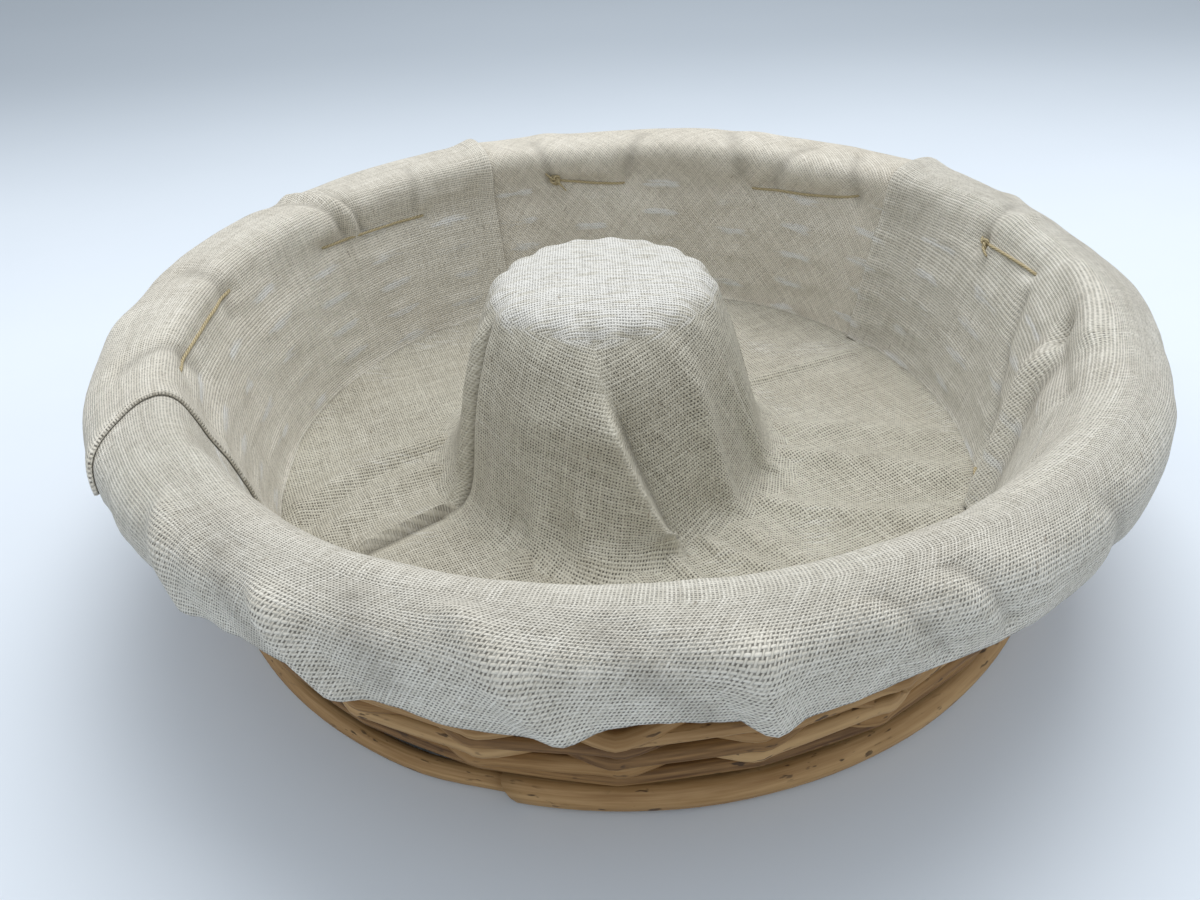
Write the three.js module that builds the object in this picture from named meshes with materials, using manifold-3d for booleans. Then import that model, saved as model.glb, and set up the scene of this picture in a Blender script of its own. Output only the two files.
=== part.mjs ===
// A crown-shaped proofing basket: a round willow basket with a cone in its middle, lined with linen.
// Millimetres, +Z up. The origin is on the table, under the middle of the basket.

import * as THREE from 'three';
import { mergeVertices } from 'three/addons/utils/BufferGeometryUtils.js';
import Module from 'manifold-3d';

// Driving dimensions of the willow basket
const BASE_RADIUS = 121;          // circle of the stakes at the foot
const RIM_RADIUS = 132.5;         // circle of the stakes under the border
const WICKER_HEIGHT = 73.4;       // top of the border
const FLARE = 1.3;                // 1 is a straight wall, more is steeper at the foot
const STAKE_COUNT = 25;           // odd, so that one rod woven on and on changes sides every turn
const STAKE_DIAMETER = 4.4;
const BEND_RADIUS = 4.5;          // of the stakes, at the foot and at the border
const BORDER_SPACES = 2.5;        // spaces between stakes that each bent-down top spans
const WEAVER_DIAMETER = 5;
const WEAVER_RODS = 3;
const FOOT_DIAMETER = 6;
const FOOT_FLAT = 0.5;            // depth of the flat under the foot rod
const FOOT_JOINT_ANGLE = 252;     // degrees, where the two ends of the foot rod meet
const BASE_LIFT = 0.7;            // the woven base clears the table by this

// Driving dimensions of the base
const SPOKE_DIAMETER = 3.6;
const SPREAD_RADIUS = 30;         // where the crossing sticks have spread into even spokes
const BASE_WEAVER_DIAMETER = 2.8;
const BASE_WEAVE_INNER = 62;
const BASE_WEAVE_SPACING = 9;     // between neighbouring rounds of the base

// Driving dimensions of the cone
const CONE_SHIFT = -5;            // the cone stands this far along X from the middle
const CONE_HEIGHT = 73;           // top of the cloth on the cone
const CONE_TOP_RADIUS = 35;       // outside of the cloth
const CONE_FOOT_RADIUS = 55;      // outside of the cloth
const CONE_STAKE_COUNT = 7;
const CONE_ROD_DIAMETER = 4.2;
const CONE_WEAVE_PITCH = 8;       // rise of the cone's weave in one turn
const CONE_CROWN_GAP = 7;         // radius left open where the bent stakes meet on top

// Driving dimensions of the lining and its twine
const LINING_THICKNESS = 1;
const FLOOR_TUCK = 4;             // the floor cloth goes this far under the foot of the hood
const HEM_DROP = 32;              // how far the cloth comes down outside, below the top of the rim
const HEM_WAVE = 3;               // the cut edge wanders up and down by this
const SKIRT_BOW = 0.8;            // the band outside the rim bows out by this
const HEM_EASE = 3;               // the cut edge hangs this far clear of the weave
const FOLD_DEPTH = 2.2;           // soft folds of the band outside the rim
const SEAM_ANGLES = { left: 200, back: 113, right: 37 };   // degrees
// Folds of the cloth on the cone: degrees at the foot and at the top, width in degrees, depth
const HOOD_FOLDS = [
  { foot: 289, top: 262, width: 10, depth: 3.2 },
  { foot: 207, top: 190, width: 8, depth: 2.6 },
  { foot: 340, top: 325, width: 9, depth: 2.2 },
  { foot: 250, top: 240, width: 8, depth: 1.8 },
];
const HOOD_FOLD_ROOM = 5;         // the floor cloth lies flat this far round the foot of the hood
// Pleats of the floor cloth: degrees, width in degrees, height
const FLOOR_PLEATS = [
  { angle: 168, width: 6, height: 1.6 },
  { angle: 187, width: 5, height: 2 },
  { angle: 210, width: 4, height: 2.2 },
  { angle: 350, width: 8, height: 1.8 },
  { angle: 20, width: 6, height: 1.4 },
];
const TWINE_DIAMETER = 1.2;
const STITCH_DROP = 16;           // from the top of the rim down to the stitches
const STITCH_STAKES = [1, 4, 7, 10, 13, 16, 19, 22, 24];   // the stakes that they cross

// Clearances
const CLEARANCE = 0.4;            // between neighbouring pieces
const WEAVE_SLACK = 0.8;          // more where a bent rod passes a stake
const END_SPACING = 2;            // between the ends of two rods that follow each other

// Facets
const ROD_SIDES = 6;
const THIN_ROD_SIDES = 5;
const FOOT_SIDES = 8;
const FOOT_STEPS = 36;
const CONE_BORDER_STEPS = 20;
const HOOD_STEPS = 40;
const FLOOR_STEPS = 52;

// Worked-out sizes
const TURN = 2 * Math.PI;
const STAKE_ANGLE = TURN / STAKE_COUNT;
const FOOT_TOP = FOOT_DIAMETER - FOOT_FLAT;
const FOOT_RADIUS = BASE_RADIUS + (STAKE_DIAMETER + FOOT_DIAMETER) / 2 + CLEARANCE;
const STAKE_FOOT_HEIGHT = BASE_LIFT + STAKE_DIAMETER / 2;
const BORDER_HEIGHT = WICKER_HEIGHT - STAKE_DIAMETER / 2;
const BORDER_STEP = STAKE_DIAMETER + CLEARANCE;
const WEAVE_OFFSET = (STAKE_DIAMETER + WEAVER_DIAMETER) / 2 + WEAVE_SLACK;
const WEAVER_PITCH = WEAVER_DIAMETER + CLEARANCE;
const FIRST_WEAVER_HEIGHT = Math.max(FOOT_TOP, STAKE_FOOT_HEIGHT + STAKE_DIAMETER / 2)
  + CLEARANCE + WEAVER_DIAMETER / 2;
const LAST_WEAVER_HEIGHT = BORDER_HEIGHT - STAKE_DIAMETER / 2 - CLEARANCE - WEAVER_DIAMETER / 2;
const WALL_HALF = WEAVE_OFFSET + WEAVER_DIAMETER / 2;      // from the stakes' circle to a face of the weave
const BASE_EDGE = BASE_RADIUS - WALL_HALF - CLEARANCE;     // the base ends here, inside the weave
const BASE_WEAVE_OFFSET = (SPOKE_DIAMETER + BASE_WEAVER_DIAMETER) / 2 + WEAVE_SLACK / 2;
const SPOKE_HEIGHT = BASE_LIFT + BASE_WEAVE_OFFSET + BASE_WEAVER_DIAMETER / 2;
const BASE_TOP = SPOKE_HEIGHT + BASE_WEAVE_OFFSET + BASE_WEAVER_DIAMETER / 2;
const FLOOR_HEIGHT = BASE_TOP + CLEARANCE;                 // underside of the floor lining
const HOOD_FOOT = FLOOR_HEIGHT + LINING_THICKNESS + CLEARANCE;
const RIM_TOP = WICKER_HEIGHT + CLEARANCE * 1.5 + LINING_THICKNESS;
const HEM_HEIGHT = RIM_TOP - HEM_DROP;
const SKIRT_TOP = BORDER_HEIGHT - STAKE_DIAMETER / 2;      // the band outside hangs from here
const STITCH_HEIGHT = RIM_TOP - STITCH_DROP;

const WILLOW = { color: 0xb68d58, roughness: 0.62, metalness: 0 };
const LINEN = { color: 0xc4baa6, roughness: 0.92, metalness: 0 };
const TWINE = { color: 0xc6ad73, roughness: 0.85, metalness: 0 };

const wasm = await Module();
wasm.setup();

const basket = new THREE.Group();

// Helpers

const radians = THREE.MathUtils.degToRad;

function polar(radius, angle, height) {
  return new THREE.Vector3(radius * Math.cos(angle), radius * Math.sin(angle), height);
}

// A path that is stepped along evenly by its own parameter, not by its length
class PlacePath extends THREE.Curve {
  constructor(place) {
    super();
    this.place = place;
  }

  getPoint(t, target = new THREE.Vector3()) {
    return target.copy(this.place(t));
  }

  getUtoTmapping(u) {
    return u;
  }
}

// Where a parameter from 0 to 1 falls in a list: the entry before it, and the share of the way to the next
function placeInList(list, t) {
  const place = t * (list.length - 1);
  const index = Math.min(Math.floor(place), list.length - 2);
  return [index, place - index];
}

// Straight from point to point, so that the rings of a rod stand exactly on its points
function throughPoints(points) {
  return new PlacePath((t) => {
    const [index, share] = placeInList(points, t);
    return points[index].clone().lerp(points[index + 1], share);
  });
}

// Round an arc of the given radius, with a ring at each angle of the list
function throughAngles(radius, angles) {
  return new PlacePath((t) => {
    const [index, share] = placeInList(angles, t);
    return polar(radius, THREE.MathUtils.lerp(angles[index], angles[index + 1], share), 0);
  });
}

function rodGeometry(points, diameter, sides = THIN_ROD_SIDES) {
  const corners = [];
  for (let i = 0; i < sides; i += 1) {
    const corner = polar(diameter / 2, TURN * i / sides, 0);
    corners.push(new THREE.Vector2(corner.x, corner.y));
  }
  return new THREE.ExtrudeGeometry(new THREE.Shape(corners), {
    steps: points.length - 1,
    bevelEnabled: false,
    extrudePath: throughPoints(points),
  });
}

function toSolid(geometry) {
  const bare = geometry.clone();
  bare.deleteAttribute('normal');
  bare.deleteAttribute('uv');
  const merged = mergeVertices(bare);
  return new wasm.Manifold(new wasm.Mesh({
    numProp: 3,
    vertProperties: new Float32Array(merged.attributes.position.array),
    triVerts: new Uint32Array(merged.index.array),
  }));
}

function toGeometry(solid) {
  const mesh = solid.getMesh();
  const geometry = new THREE.BufferGeometry();
  geometry.setAttribute('position', new THREE.BufferAttribute(mesh.vertProperties, 3));
  geometry.setIndex(new THREE.BufferAttribute(mesh.triVerts, 1));
  geometry.computeVertexNormals();
  return geometry;
}

function addPiece(name, geometry, finish) {
  const piece = new THREE.Mesh(geometry, new THREE.MeshStandardMaterial(finish));
  piece.name = name;
  basket.add(piece);
}

// Moves every vertex by move(point), which changes the point in place
function reshape(geometry, move) {
  const position = geometry.attributes.position;
  const point = new THREE.Vector3();
  for (let i = 0; i < position.count; i += 1) {
    point.fromBufferAttribute(position, i);
    move(point);
    position.setXYZ(i, point.x, point.y, point.z);
  }
  geometry.computeVertexNormals();
  return geometry;
}

// A smooth bump, 1 at its middle, across an angle in degrees
function bump(angle, middle, width) {
  const away = THREE.MathUtils.euclideanModulo(angle - middle + 180, 360) - 180;
  return Math.exp(-((away / width) ** 2));
}

function angleOf(point) {
  return THREE.MathUtils.radToDeg(Math.atan2(point.y, point.x));
}

// The willow wall

// Where a stake stands, counted from 1
function stakeAngle(stake) {
  return (stake - 0.5) * STAKE_ANGLE;
}

// Radius of the stakes' circle at a height
function stakeRadius(height) {
  const share = (height - STAKE_FOOT_HEIGHT) / (BORDER_HEIGHT - STAKE_FOOT_HEIGHT);
  return BASE_RADIUS + (RIM_RADIUS - BASE_RADIUS) * THREE.MathUtils.clamp(share, 0, 1) ** FLARE;
}

// A stake comes out of the base, bends up the wall, then lies along the rim in front of the next ones
function stakePoints(angle) {
  const bendEnd = STAKE_FOOT_HEIGHT + BEND_RADIUS;
  const bendTop = BORDER_HEIGHT - BEND_RADIUS;
  const points = [
    polar(BASE_EDGE, angle, STAKE_FOOT_HEIGHT),
    polar(BASE_RADIUS - BEND_RADIUS, angle, STAKE_FOOT_HEIGHT),
    polar(BASE_RADIUS - BEND_RADIUS * 0.3, angle, STAKE_FOOT_HEIGHT + BEND_RADIUS * 0.3),
  ];
  const wallSteps = 3;
  for (let i = 0; i <= wallSteps; i += 1) {
    const height = THREE.MathUtils.lerp(bendEnd, bendTop, i / wallSteps);
    points.push(polar(stakeRadius(height), angle, height));
  }
  points.push(polar(RIM_RADIUS, angle + STAKE_ANGLE / 12, BORDER_HEIGHT - BEND_RADIUS * 0.3));
  const spaceStep = 0.5;
  for (let space = spaceStep; space < BORDER_SPACES + spaceStep / 2; space += spaceStep) {
    points.push(polar(RIM_RADIUS + space * BORDER_STEP, angle + space * STAKE_ANGLE, BORDER_HEIGHT));
  }
  return points;
}

for (let stake = 1; stake <= STAKE_COUNT; stake += 1) {
  addPiece(`side_stake_${stake}`, rodGeometry(stakePoints(stakeAngle(stake)), STAKE_DIAMETER), WILLOW);
}

// The weave: one spiral, in front of one stake and behind the next, made of several rods
function weaverPoints(firstStep, lastStep, place) {
  const points = [];
  const count = Math.round((lastStep - firstStep) * 2);
  for (let i = 0; i <= count; i += 1) {
    points.push(place(THREE.MathUtils.lerp(firstStep, lastStep, i / count)));
  }
  return points;
}

function sideWeaverPlace(step) {
  const height = FIRST_WEAVER_HEIGHT + WEAVER_PITCH * step / STAKE_COUNT;
  const radius = stakeRadius(height) + WEAVE_OFFSET * Math.cos(Math.PI * step);
  return polar(radius, stakeAngle(step), height);
}

const weaverSteps = Math.floor((LAST_WEAVER_HEIGHT - FIRST_WEAVER_HEIGHT) / WEAVER_PITCH * STAKE_COUNT);
const endStep = END_SPACING / 2 / (BASE_RADIUS * STAKE_ANGLE);
for (let i = 0; i < WEAVER_RODS; i += 1) {
  const first = Math.floor(weaverSteps * i / WEAVER_RODS) + 0.5 + endStep;
  const last = Math.floor(weaverSteps * (i + 1) / WEAVER_RODS) + 0.5 - endStep;
  addPiece(
    `side_weaver_${i + 1}`,
    rodGeometry(weaverPoints(first, last, sideWeaverPlace), WEAVER_DIAMETER),
    WILLOW,
  );
}

// The foot rod goes once round outside the stakes and is flat where it stands
{
  const points = [];
  const gapAngle = END_SPACING / FOOT_RADIUS;
  const start = radians(FOOT_JOINT_ANGLE) + gapAngle / 2;
  for (let i = 0; i <= FOOT_STEPS; i += 1) {
    const angle = start + (TURN - gapAngle) * i / FOOT_STEPS;
    points.push(polar(FOOT_RADIUS, angle, FOOT_DIAMETER / 2 - FOOT_FLAT));
  }
  const table = new THREE.BoxGeometry(FOOT_RADIUS * 3, FOOT_RADIUS * 3, FOOT_DIAMETER);
  table.translate(0, 0, -FOOT_DIAMETER / 2);
  const rod = toSolid(rodGeometry(points, FOOT_DIAMETER, FOOT_SIDES)).subtract(toSolid(table));
  addPiece('foot_rod', toGeometry(rod), WILLOW);
}

// The base: three sticks cross three others, and all spread into twelve even spokes

const STICK_ROWS = [-1, 0, 1];
const SPOKES = STICK_ROWS.length * 4;
const STICK_SPACING = SPOKE_DIAMETER + CLEARANCE;

function baseStickPoints(row, turn, rise) {
  const side = row * STICK_SPACING;
  const crossing = (STICK_ROWS.length / 2 + 1) * STICK_SPACING;
  const spread = row * TURN / SPOKES;
  const half = [
    new THREE.Vector3(crossing, side, SPOKE_HEIGHT + rise),
    polar(SPREAD_RADIUS, spread, SPOKE_HEIGHT),
    polar(BASE_EDGE - CLEARANCE, spread, SPOKE_HEIGHT),
  ];
  const mirrored = half.map((point) => new THREE.Vector3(-point.x, point.y, point.z));
  const upright = new THREE.Vector3(0, 0, 1);
  return [...mirrored.reverse(), ...half].map((point) => point.applyAxisAngle(upright, turn));
}

for (const [index, row] of STICK_ROWS.entries()) {
  const low = baseStickPoints(row, 0, 0);
  const high = baseStickPoints(row, Math.PI / 2, STICK_SPACING);
  addPiece(`base_stick_${index + 1}`, rodGeometry(low, SPOKE_DIAMETER, ROD_SIDES), WILLOW);
  addPiece(`base_stick_${index + 4}`, rodGeometry(high, SPOKE_DIAMETER, ROD_SIDES), WILLOW);
}

// Two rods spiral outwards together, one over each spoke where the other goes under
{
  const outer = BASE_EDGE - CLEARANCE - BASE_WEAVER_DIAMETER / 2;
  const turns = (outer - BASE_WEAVE_INNER) / BASE_WEAVE_SPACING / 2 - 0.5;
  for (const [index, side] of [1, -1].entries()) {
    const place = (step) => {
      const radius = BASE_WEAVE_INNER + BASE_WEAVE_SPACING * (2 * step / SPOKES + index);
      const height = SPOKE_HEIGHT + side * BASE_WEAVE_OFFSET * Math.cos(Math.PI * step);
      return polar(radius, step * TURN / SPOKES, height);
    };
    const rod = rodGeometry(weaverPoints(0, Math.floor(turns * SPOKES), place), BASE_WEAVER_DIAMETER);
    addPiece(`base_weaver_${index + 1}`, rod, WILLOW);
  }
}

// The cone: a small basket that stands upside down on the base

const CONE_CLOTH_INSIDE = LINING_THICKNESS + CLEARANCE;
const CONE_WEAVE_OFFSET = CONE_ROD_DIAMETER + WEAVE_SLACK;
const CONE_WALL_HALF = CONE_WEAVE_OFFSET + CONE_ROD_DIAMETER / 2;
const CONE_BORDER_HEIGHT = SPOKE_HEIGHT + (SPOKE_DIAMETER + CONE_ROD_DIAMETER) / 2 + CLEARANCE;
const CONE_STAKE_START = CONE_BORDER_HEIGHT + CONE_ROD_DIAMETER / 2 + CLEARANCE;
const CONE_STAKE_TOP = CONE_HEIGHT - CONE_CLOTH_INSIDE - CONE_ROD_DIAMETER / 2;
const CONE_SHOULDER = CONE_STAKE_TOP - CONE_ROD_DIAMETER * 1.5;

// Outside of the cone's cloth at a height
function hoodRadius(height) {
  const share = (height - HOOD_FOOT) / (CONE_HEIGHT - HOOD_FOOT);
  return THREE.MathUtils.lerp(CONE_FOOT_RADIUS, CONE_TOP_RADIUS, share);
}

function coneStakeRadius(height) {
  return hoodRadius(height) - CONE_CLOTH_INSIDE - CONE_WALL_HALF;
}

function conePlace(radius, angle, height) {
  return polar(radius, angle, height).add(new THREE.Vector3(CONE_SHIFT, 0, 0));
}

const coneStakeAngle = TURN / CONE_STAKE_COUNT;
for (let i = 0; i < CONE_STAKE_COUNT; i += 1) {
  const angle = i * coneStakeAngle;
  const points = [
    conePlace(coneStakeRadius(CONE_STAKE_START), angle, CONE_STAKE_START),
    conePlace(coneStakeRadius(CONE_SHOULDER), angle, CONE_SHOULDER),
    conePlace(coneStakeRadius(CONE_STAKE_TOP) - CONE_ROD_DIAMETER, angle, CONE_STAKE_TOP),
    conePlace(CONE_CROWN_GAP, angle, CONE_STAKE_TOP),
  ];
  addPiece(`cone_stake_${i + 1}`, rodGeometry(points, CONE_ROD_DIAMETER, ROD_SIDES), WILLOW);
}

{
  const firstHeight = CONE_STAKE_START + CONE_ROD_DIAMETER / 2;
  const lastHeight = CONE_SHOULDER - CONE_ROD_DIAMETER / 2;
  const steps = Math.floor((lastHeight - firstHeight) / CONE_WEAVE_PITCH * CONE_STAKE_COUNT);
  const place = (step) => {
    const height = firstHeight + CONE_WEAVE_PITCH * step / CONE_STAKE_COUNT;
    const radius = coneStakeRadius(height) + CONE_WEAVE_OFFSET * Math.cos(Math.PI * step);
    return conePlace(radius, step * coneStakeAngle, height);
  };
  const rod = rodGeometry(weaverPoints(0.5, steps + 0.5, place), CONE_ROD_DIAMETER);
  addPiece('cone_weaver', rod, WILLOW);
}

{
  const radius = coneStakeRadius(CONE_STAKE_START);
  const gapAngle = END_SPACING / radius;
  const points = [];
  for (let i = 0; i <= CONE_BORDER_STEPS; i += 1) {
    const angle = gapAngle / 2 + (TURN - gapAngle) * i / CONE_BORDER_STEPS;
    points.push(conePlace(radius, angle, CONE_BORDER_HEIGHT));
  }
  addPiece('cone_border', rodGeometry(points, CONE_ROD_DIAMETER, ROD_SIDES), WILLOW);
}

// The lining

// Wicker side of the wall lining at a height
function wallLiningRadius(height) {
  return stakeRadius(height) - WALL_HALF - CLEARANCE;
}

const BORDER_EDGE = RIM_RADIUS + BORDER_SPACES * BORDER_STEP;     // middle of the border's outermost rod
const BORDER_ROUND = STAKE_DIAMETER / 2 + CLEARANCE * 1.5;       // the cloth goes round it at this radius
const HEM_RADIUS = stakeRadius(HEM_HEIGHT) + WALL_HALF + CLEARANCE + HEM_EASE;

// The wicker side of the cloth, from the floor up the wall, over the border and down to the hem
function wallLiningLine() {
  const points = [];
  const wallSteps = 3;
  const wallTop = LAST_WEAVER_HEIGHT + WEAVER_DIAMETER / 2;
  for (let i = 0; i <= wallSteps; i += 1) {
    const height = THREE.MathUtils.lerp(FLOOR_HEIGHT, wallTop, i / wallSteps);
    points.push(new THREE.Vector2(wallLiningRadius(height), height));
  }
  const roundOver = (middle, degrees) => new THREE.Vector2(
    middle + BORDER_ROUND * Math.cos(radians(degrees)),
    BORDER_HEIGHT + BORDER_ROUND * Math.sin(radians(degrees)),
  );
  points.push(roundOver(RIM_RADIUS, 110));
  points.push(roundOver(BORDER_EDGE, 90));
  points.push(roundOver(BORDER_EDGE, 45));
  points.push(roundOver(BORDER_EDGE, 0));
  const skirtTop = new THREE.Vector2(BORDER_EDGE + BORDER_ROUND, SKIRT_TOP);
  const hem = new THREE.Vector2(HEM_RADIUS, HEM_HEIGHT);
  const skirtSteps = 3;
  for (let i = 0; i <= skirtSteps; i += 1) {
    const point = skirtTop.clone().lerp(hem, i / skirtSteps);
    point.x += SKIRT_BOW * Math.sin(Math.PI * i / skirtSteps);
    points.push(point);
  }
  return points;
}

// The same line moved by the cloth's thickness, away from the wicker
function offsetLine(line, distance) {
  return line.map((point, i) => {
    const before = line[Math.max(i - 1, 0)];
    const after = line[Math.min(i + 1, line.length - 1)];
    const along = after.clone().sub(before).normalize();
    return new THREE.Vector2(point.x - along.y * distance, point.y + along.x * distance);
  });
}

// Soft folds and a wandering cut edge on the band outside the rim
function dressHem(point) {
  const radius = Math.hypot(point.x, point.y);
  const share = (SKIRT_TOP - point.z) / (SKIRT_TOP - HEM_HEIGHT);
  if (radius < RIM_RADIUS || share <= 0) {
    return;
  }
  const angle = Math.atan2(point.y, point.x);
  const wave = 0.6 * Math.sin(5 * angle + 1) + 0.4 * Math.sin(11 * angle + 2);
  const fold = 0.5 + 0.3 * Math.sin(9 * angle) + 0.2 * Math.sin(14 * angle + 1);
  const away = 1 + FOLD_DEPTH * fold * share / radius;
  point.set(point.x * away, point.y * away, point.z + HEM_WAVE * wave * share);
}

function wallLining(fromAngle, toAngle) {
  const line = wallLiningLine();
  const outline = [...line, ...offsetLine(line, LINING_THICKNESS).reverse()];
  const gap = CLEARANCE / 2 / RIM_RADIUS;
  const angles = [radians(fromAngle) + gap];
  const end = radians(toAngle) - gap;
  const step = STAKE_ANGLE / 2;
  // The columns between the two ends stand clear of the stitches' holes, which lie halfway between them
  for (let angle = (Math.floor(angles[0] / step) + 1.5) * step; angle < end - step / 4; angle += step) {
    angles.push(angle);
  }
  angles.push(end);
  // Along this arc the section's x runs down and its y runs inwards
  const section = new THREE.Shape(outline.map((p) => new THREE.Vector2(-p.y, RIM_RADIUS - p.x)));
  const band = new THREE.ExtrudeGeometry(section, {
    steps: angles.length - 1,
    bevelEnabled: false,
    extrudePath: throughAngles(RIM_RADIUS, angles),
  });
  return reshape(band, dressHem);
}

// Twine stitches: each runs inside across one stake, and its ends go out between the stakes

function stitchPoints(stake) {
  const cloth = wallLiningRadius(STITCH_HEIGHT) - LINING_THICKNESS;
  const run = cloth - CLEARANCE - TWINE_DIAMETER / 2;
  const anchor = stakeRadius(STITCH_HEIGHT) - WEAVER_DIAMETER / 2 - CLEARANCE;
  const points = [];
  const steps = 4;
  for (let i = 0; i <= steps; i += 1) {
    const angle = stakeAngle(stake + i / steps - 0.5);
    points.push(polar(run, angle, STITCH_HEIGHT));
  }
  points.unshift(polar(anchor, stakeAngle(stake - 0.5), STITCH_HEIGHT));
  points.push(polar(anchor, stakeAngle(stake + 0.5), STITCH_HEIGHT));
  return points;
}

function stitchHoles(stake) {
  const reach = LINING_THICKNESS * 4;
  return [-0.5, 0.5].map((side) => {
    const angle = stakeAngle(stake + side);
    const middle = wallLiningRadius(STITCH_HEIGHT) - LINING_THICKNESS / 2;
    const ends = [polar(middle - reach, angle, STITCH_HEIGHT), polar(middle + reach, angle, STITCH_HEIGHT)];
    return toSolid(rodGeometry(ends, TWINE_DIAMETER + 2 * CLEARANCE, ROD_SIDES));
  });
}

const holes = STITCH_STAKES.flatMap(stitchHoles);
const wallPanels = {
  lining_wall_front: [SEAM_ANGLES.left, SEAM_ANGLES.right + 360],
  lining_wall_back: [SEAM_ANGLES.right, SEAM_ANGLES.back],
  lining_wall_left: [SEAM_ANGLES.back, SEAM_ANGLES.left],
};
for (const [name, [from, to]] of Object.entries(wallPanels)) {
  let panel = toSolid(wallLining(from, to));
  for (const hole of holes) {
    panel = panel.subtract(hole);
  }
  addPiece(name, toGeometry(panel), LINEN);
}

for (const [index, stake] of STITCH_STAKES.entries()) {
  addPiece(`twine_stitch_${index + 1}`, rodGeometry(stitchPoints(stake), TWINE_DIAMETER), TWINE);
}

// The cloth over the cone, with the folds that show
{
  const outside = [];
  const sideSteps = 5;
  for (let i = sideSteps; i >= 0; i -= 1) {
    const height = THREE.MathUtils.lerp(HOOD_FOOT, CONE_HEIGHT - CONE_ROD_DIAMETER / 2, i / sideSteps);
    outside.push(new THREE.Vector2(hoodRadius(height), height));
  }
  const profile = [
    new THREE.Vector2(0, CONE_HEIGHT),
    new THREE.Vector2(CONE_TOP_RADIUS - CONE_ROD_DIAMETER, CONE_HEIGHT),
    ...outside,
    ...outside.map((p) => new THREE.Vector2(p.x - LINING_THICKNESS, p.y)).reverse(),
    new THREE.Vector2(CONE_TOP_RADIUS - CONE_ROD_DIAMETER, CONE_HEIGHT - LINING_THICKNESS),
    new THREE.Vector2(0, CONE_HEIGHT - LINING_THICKNESS),
  ];
  const hood = new THREE.LatheGeometry(profile.reverse(), HOOD_STEPS);
  hood.rotateX(Math.PI / 2);
  reshape(hood, (point) => {
    const share = THREE.MathUtils.clamp((point.z - HOOD_FOOT) / (CONE_HEIGHT - HOOD_FOOT), 0, 1);
    const radius = Math.hypot(point.x, point.y);
    if (radius < CONE_TOP_RADIUS - 2 * CONE_ROD_DIAMETER) {
      return;
    }
    let out = 0;
    for (const fold of HOOD_FOLDS) {
      const middle = THREE.MathUtils.lerp(fold.foot, fold.top, share);
      out += fold.depth * bump(angleOf(point), middle, fold.width) * Math.sqrt(1 - share);
    }
    const away = 1 + out / radius;
    point.set(point.x * away, point.y * away, point.z);
  });
  hood.translate(CONE_SHIFT, 0, 0);
  addPiece('cone_hood', hood, LINEN);
}

// The floor cloth, a ring round the cone with a few pleats
{
  const inner = CONE_FOOT_RADIUS - FLOOR_TUCK;
  const free = CONE_FOOT_RADIUS + HOOD_FOLD_ROOM;
  const outer = wallLiningRadius(FLOOR_HEIGHT) - LINING_THICKNESS - CLEARANCE;
  const radii = [inner, free, (free + outer) / 2, outer];
  const underside = radii.map((radius) => new THREE.Vector2(radius, FLOOR_HEIGHT));
  const topside = radii.map((radius) => new THREE.Vector2(radius, FLOOR_HEIGHT + LINING_THICKNESS));
  const floor = new THREE.LatheGeometry([...underside, ...topside.reverse(), underside[0]], FLOOR_STEPS);
  floor.rotateX(Math.PI / 2);
  reshape(floor, (point) => {
    const radius = Math.hypot(point.x, point.y);
    const share = Math.min((outer - radius) / (outer - free), 1);
    for (const pleat of FLOOR_PLEATS) {
      point.z += pleat.height * bump(angleOf(point), pleat.angle, pleat.width) * 4 * share * (1 - share);
    }
    point.x += CONE_SHIFT * (outer - radius) / (outer - inner);
  });
  addPiece('lining_floor', floor, LINEN);
}

export default basket;
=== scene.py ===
"""Looks of the crown proofing basket: willow rods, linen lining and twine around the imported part.

Lengths are millimetres while a shape is worked out, and metres in each finished mesh.
Azimuths are degrees: 0 is to the right, 90 to the back and 270 to the front.
"""

import bisect
import math
import random

import bmesh
import bpy
from mathutils import Matrix, Vector, noise


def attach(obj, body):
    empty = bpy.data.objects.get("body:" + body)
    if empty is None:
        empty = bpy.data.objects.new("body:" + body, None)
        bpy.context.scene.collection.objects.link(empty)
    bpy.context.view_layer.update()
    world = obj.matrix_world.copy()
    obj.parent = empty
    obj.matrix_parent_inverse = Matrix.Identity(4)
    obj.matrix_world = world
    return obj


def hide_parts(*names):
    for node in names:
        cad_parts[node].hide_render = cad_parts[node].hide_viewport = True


MM = 0.001

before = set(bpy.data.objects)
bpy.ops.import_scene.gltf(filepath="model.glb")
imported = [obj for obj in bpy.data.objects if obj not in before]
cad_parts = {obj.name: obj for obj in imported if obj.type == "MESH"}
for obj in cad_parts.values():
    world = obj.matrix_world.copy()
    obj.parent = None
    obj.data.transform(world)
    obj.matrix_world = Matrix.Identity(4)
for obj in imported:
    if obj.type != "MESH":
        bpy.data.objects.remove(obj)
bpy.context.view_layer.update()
scene = bpy.context.scene
scene.view_settings.view_transform = "Standard"

# Sizes that the part gives
CLEARANCE = 0.4
STAKES = 25
SPACE = 360 / STAKES
BASE_RADIUS = 121
RIM_RADIUS = 132.5
FLARE = 1.3
STAKE_FOOT_HEIGHT = 2.9
BEND_RADIUS = 4.5
BORDER_HEIGHT = 71.2
BORDER_SPACES = 2.5
BORDER_STEP = 4.8
BASE_EDGE = 112.6
WEAVER_PITCH = 5.4
WEAVE_OFFSET = 5.5
FIRST_WEAVER_HEIGHT = 8.4
WEAVER_STEPS = 267
FOOT_RADIUS = 126.6
FOOT_JOINT = 252
SPOKE_HEIGHT = 5.7
SPOKE_DIAMETER = 3.6
SPOKES = 12
SPREAD_RADIUS = 30
BASE_WEAVER_DIAMETER = 2.8
BASE_WEAVE_INNER = 62
BASE_WEAVE_SPACING = 9
BASE_WEAVE_OFFSET = 3.6
CONE_SHIFT = -5
CONE_HEIGHT = 73
CONE_TOP_RADIUS = 35
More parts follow.
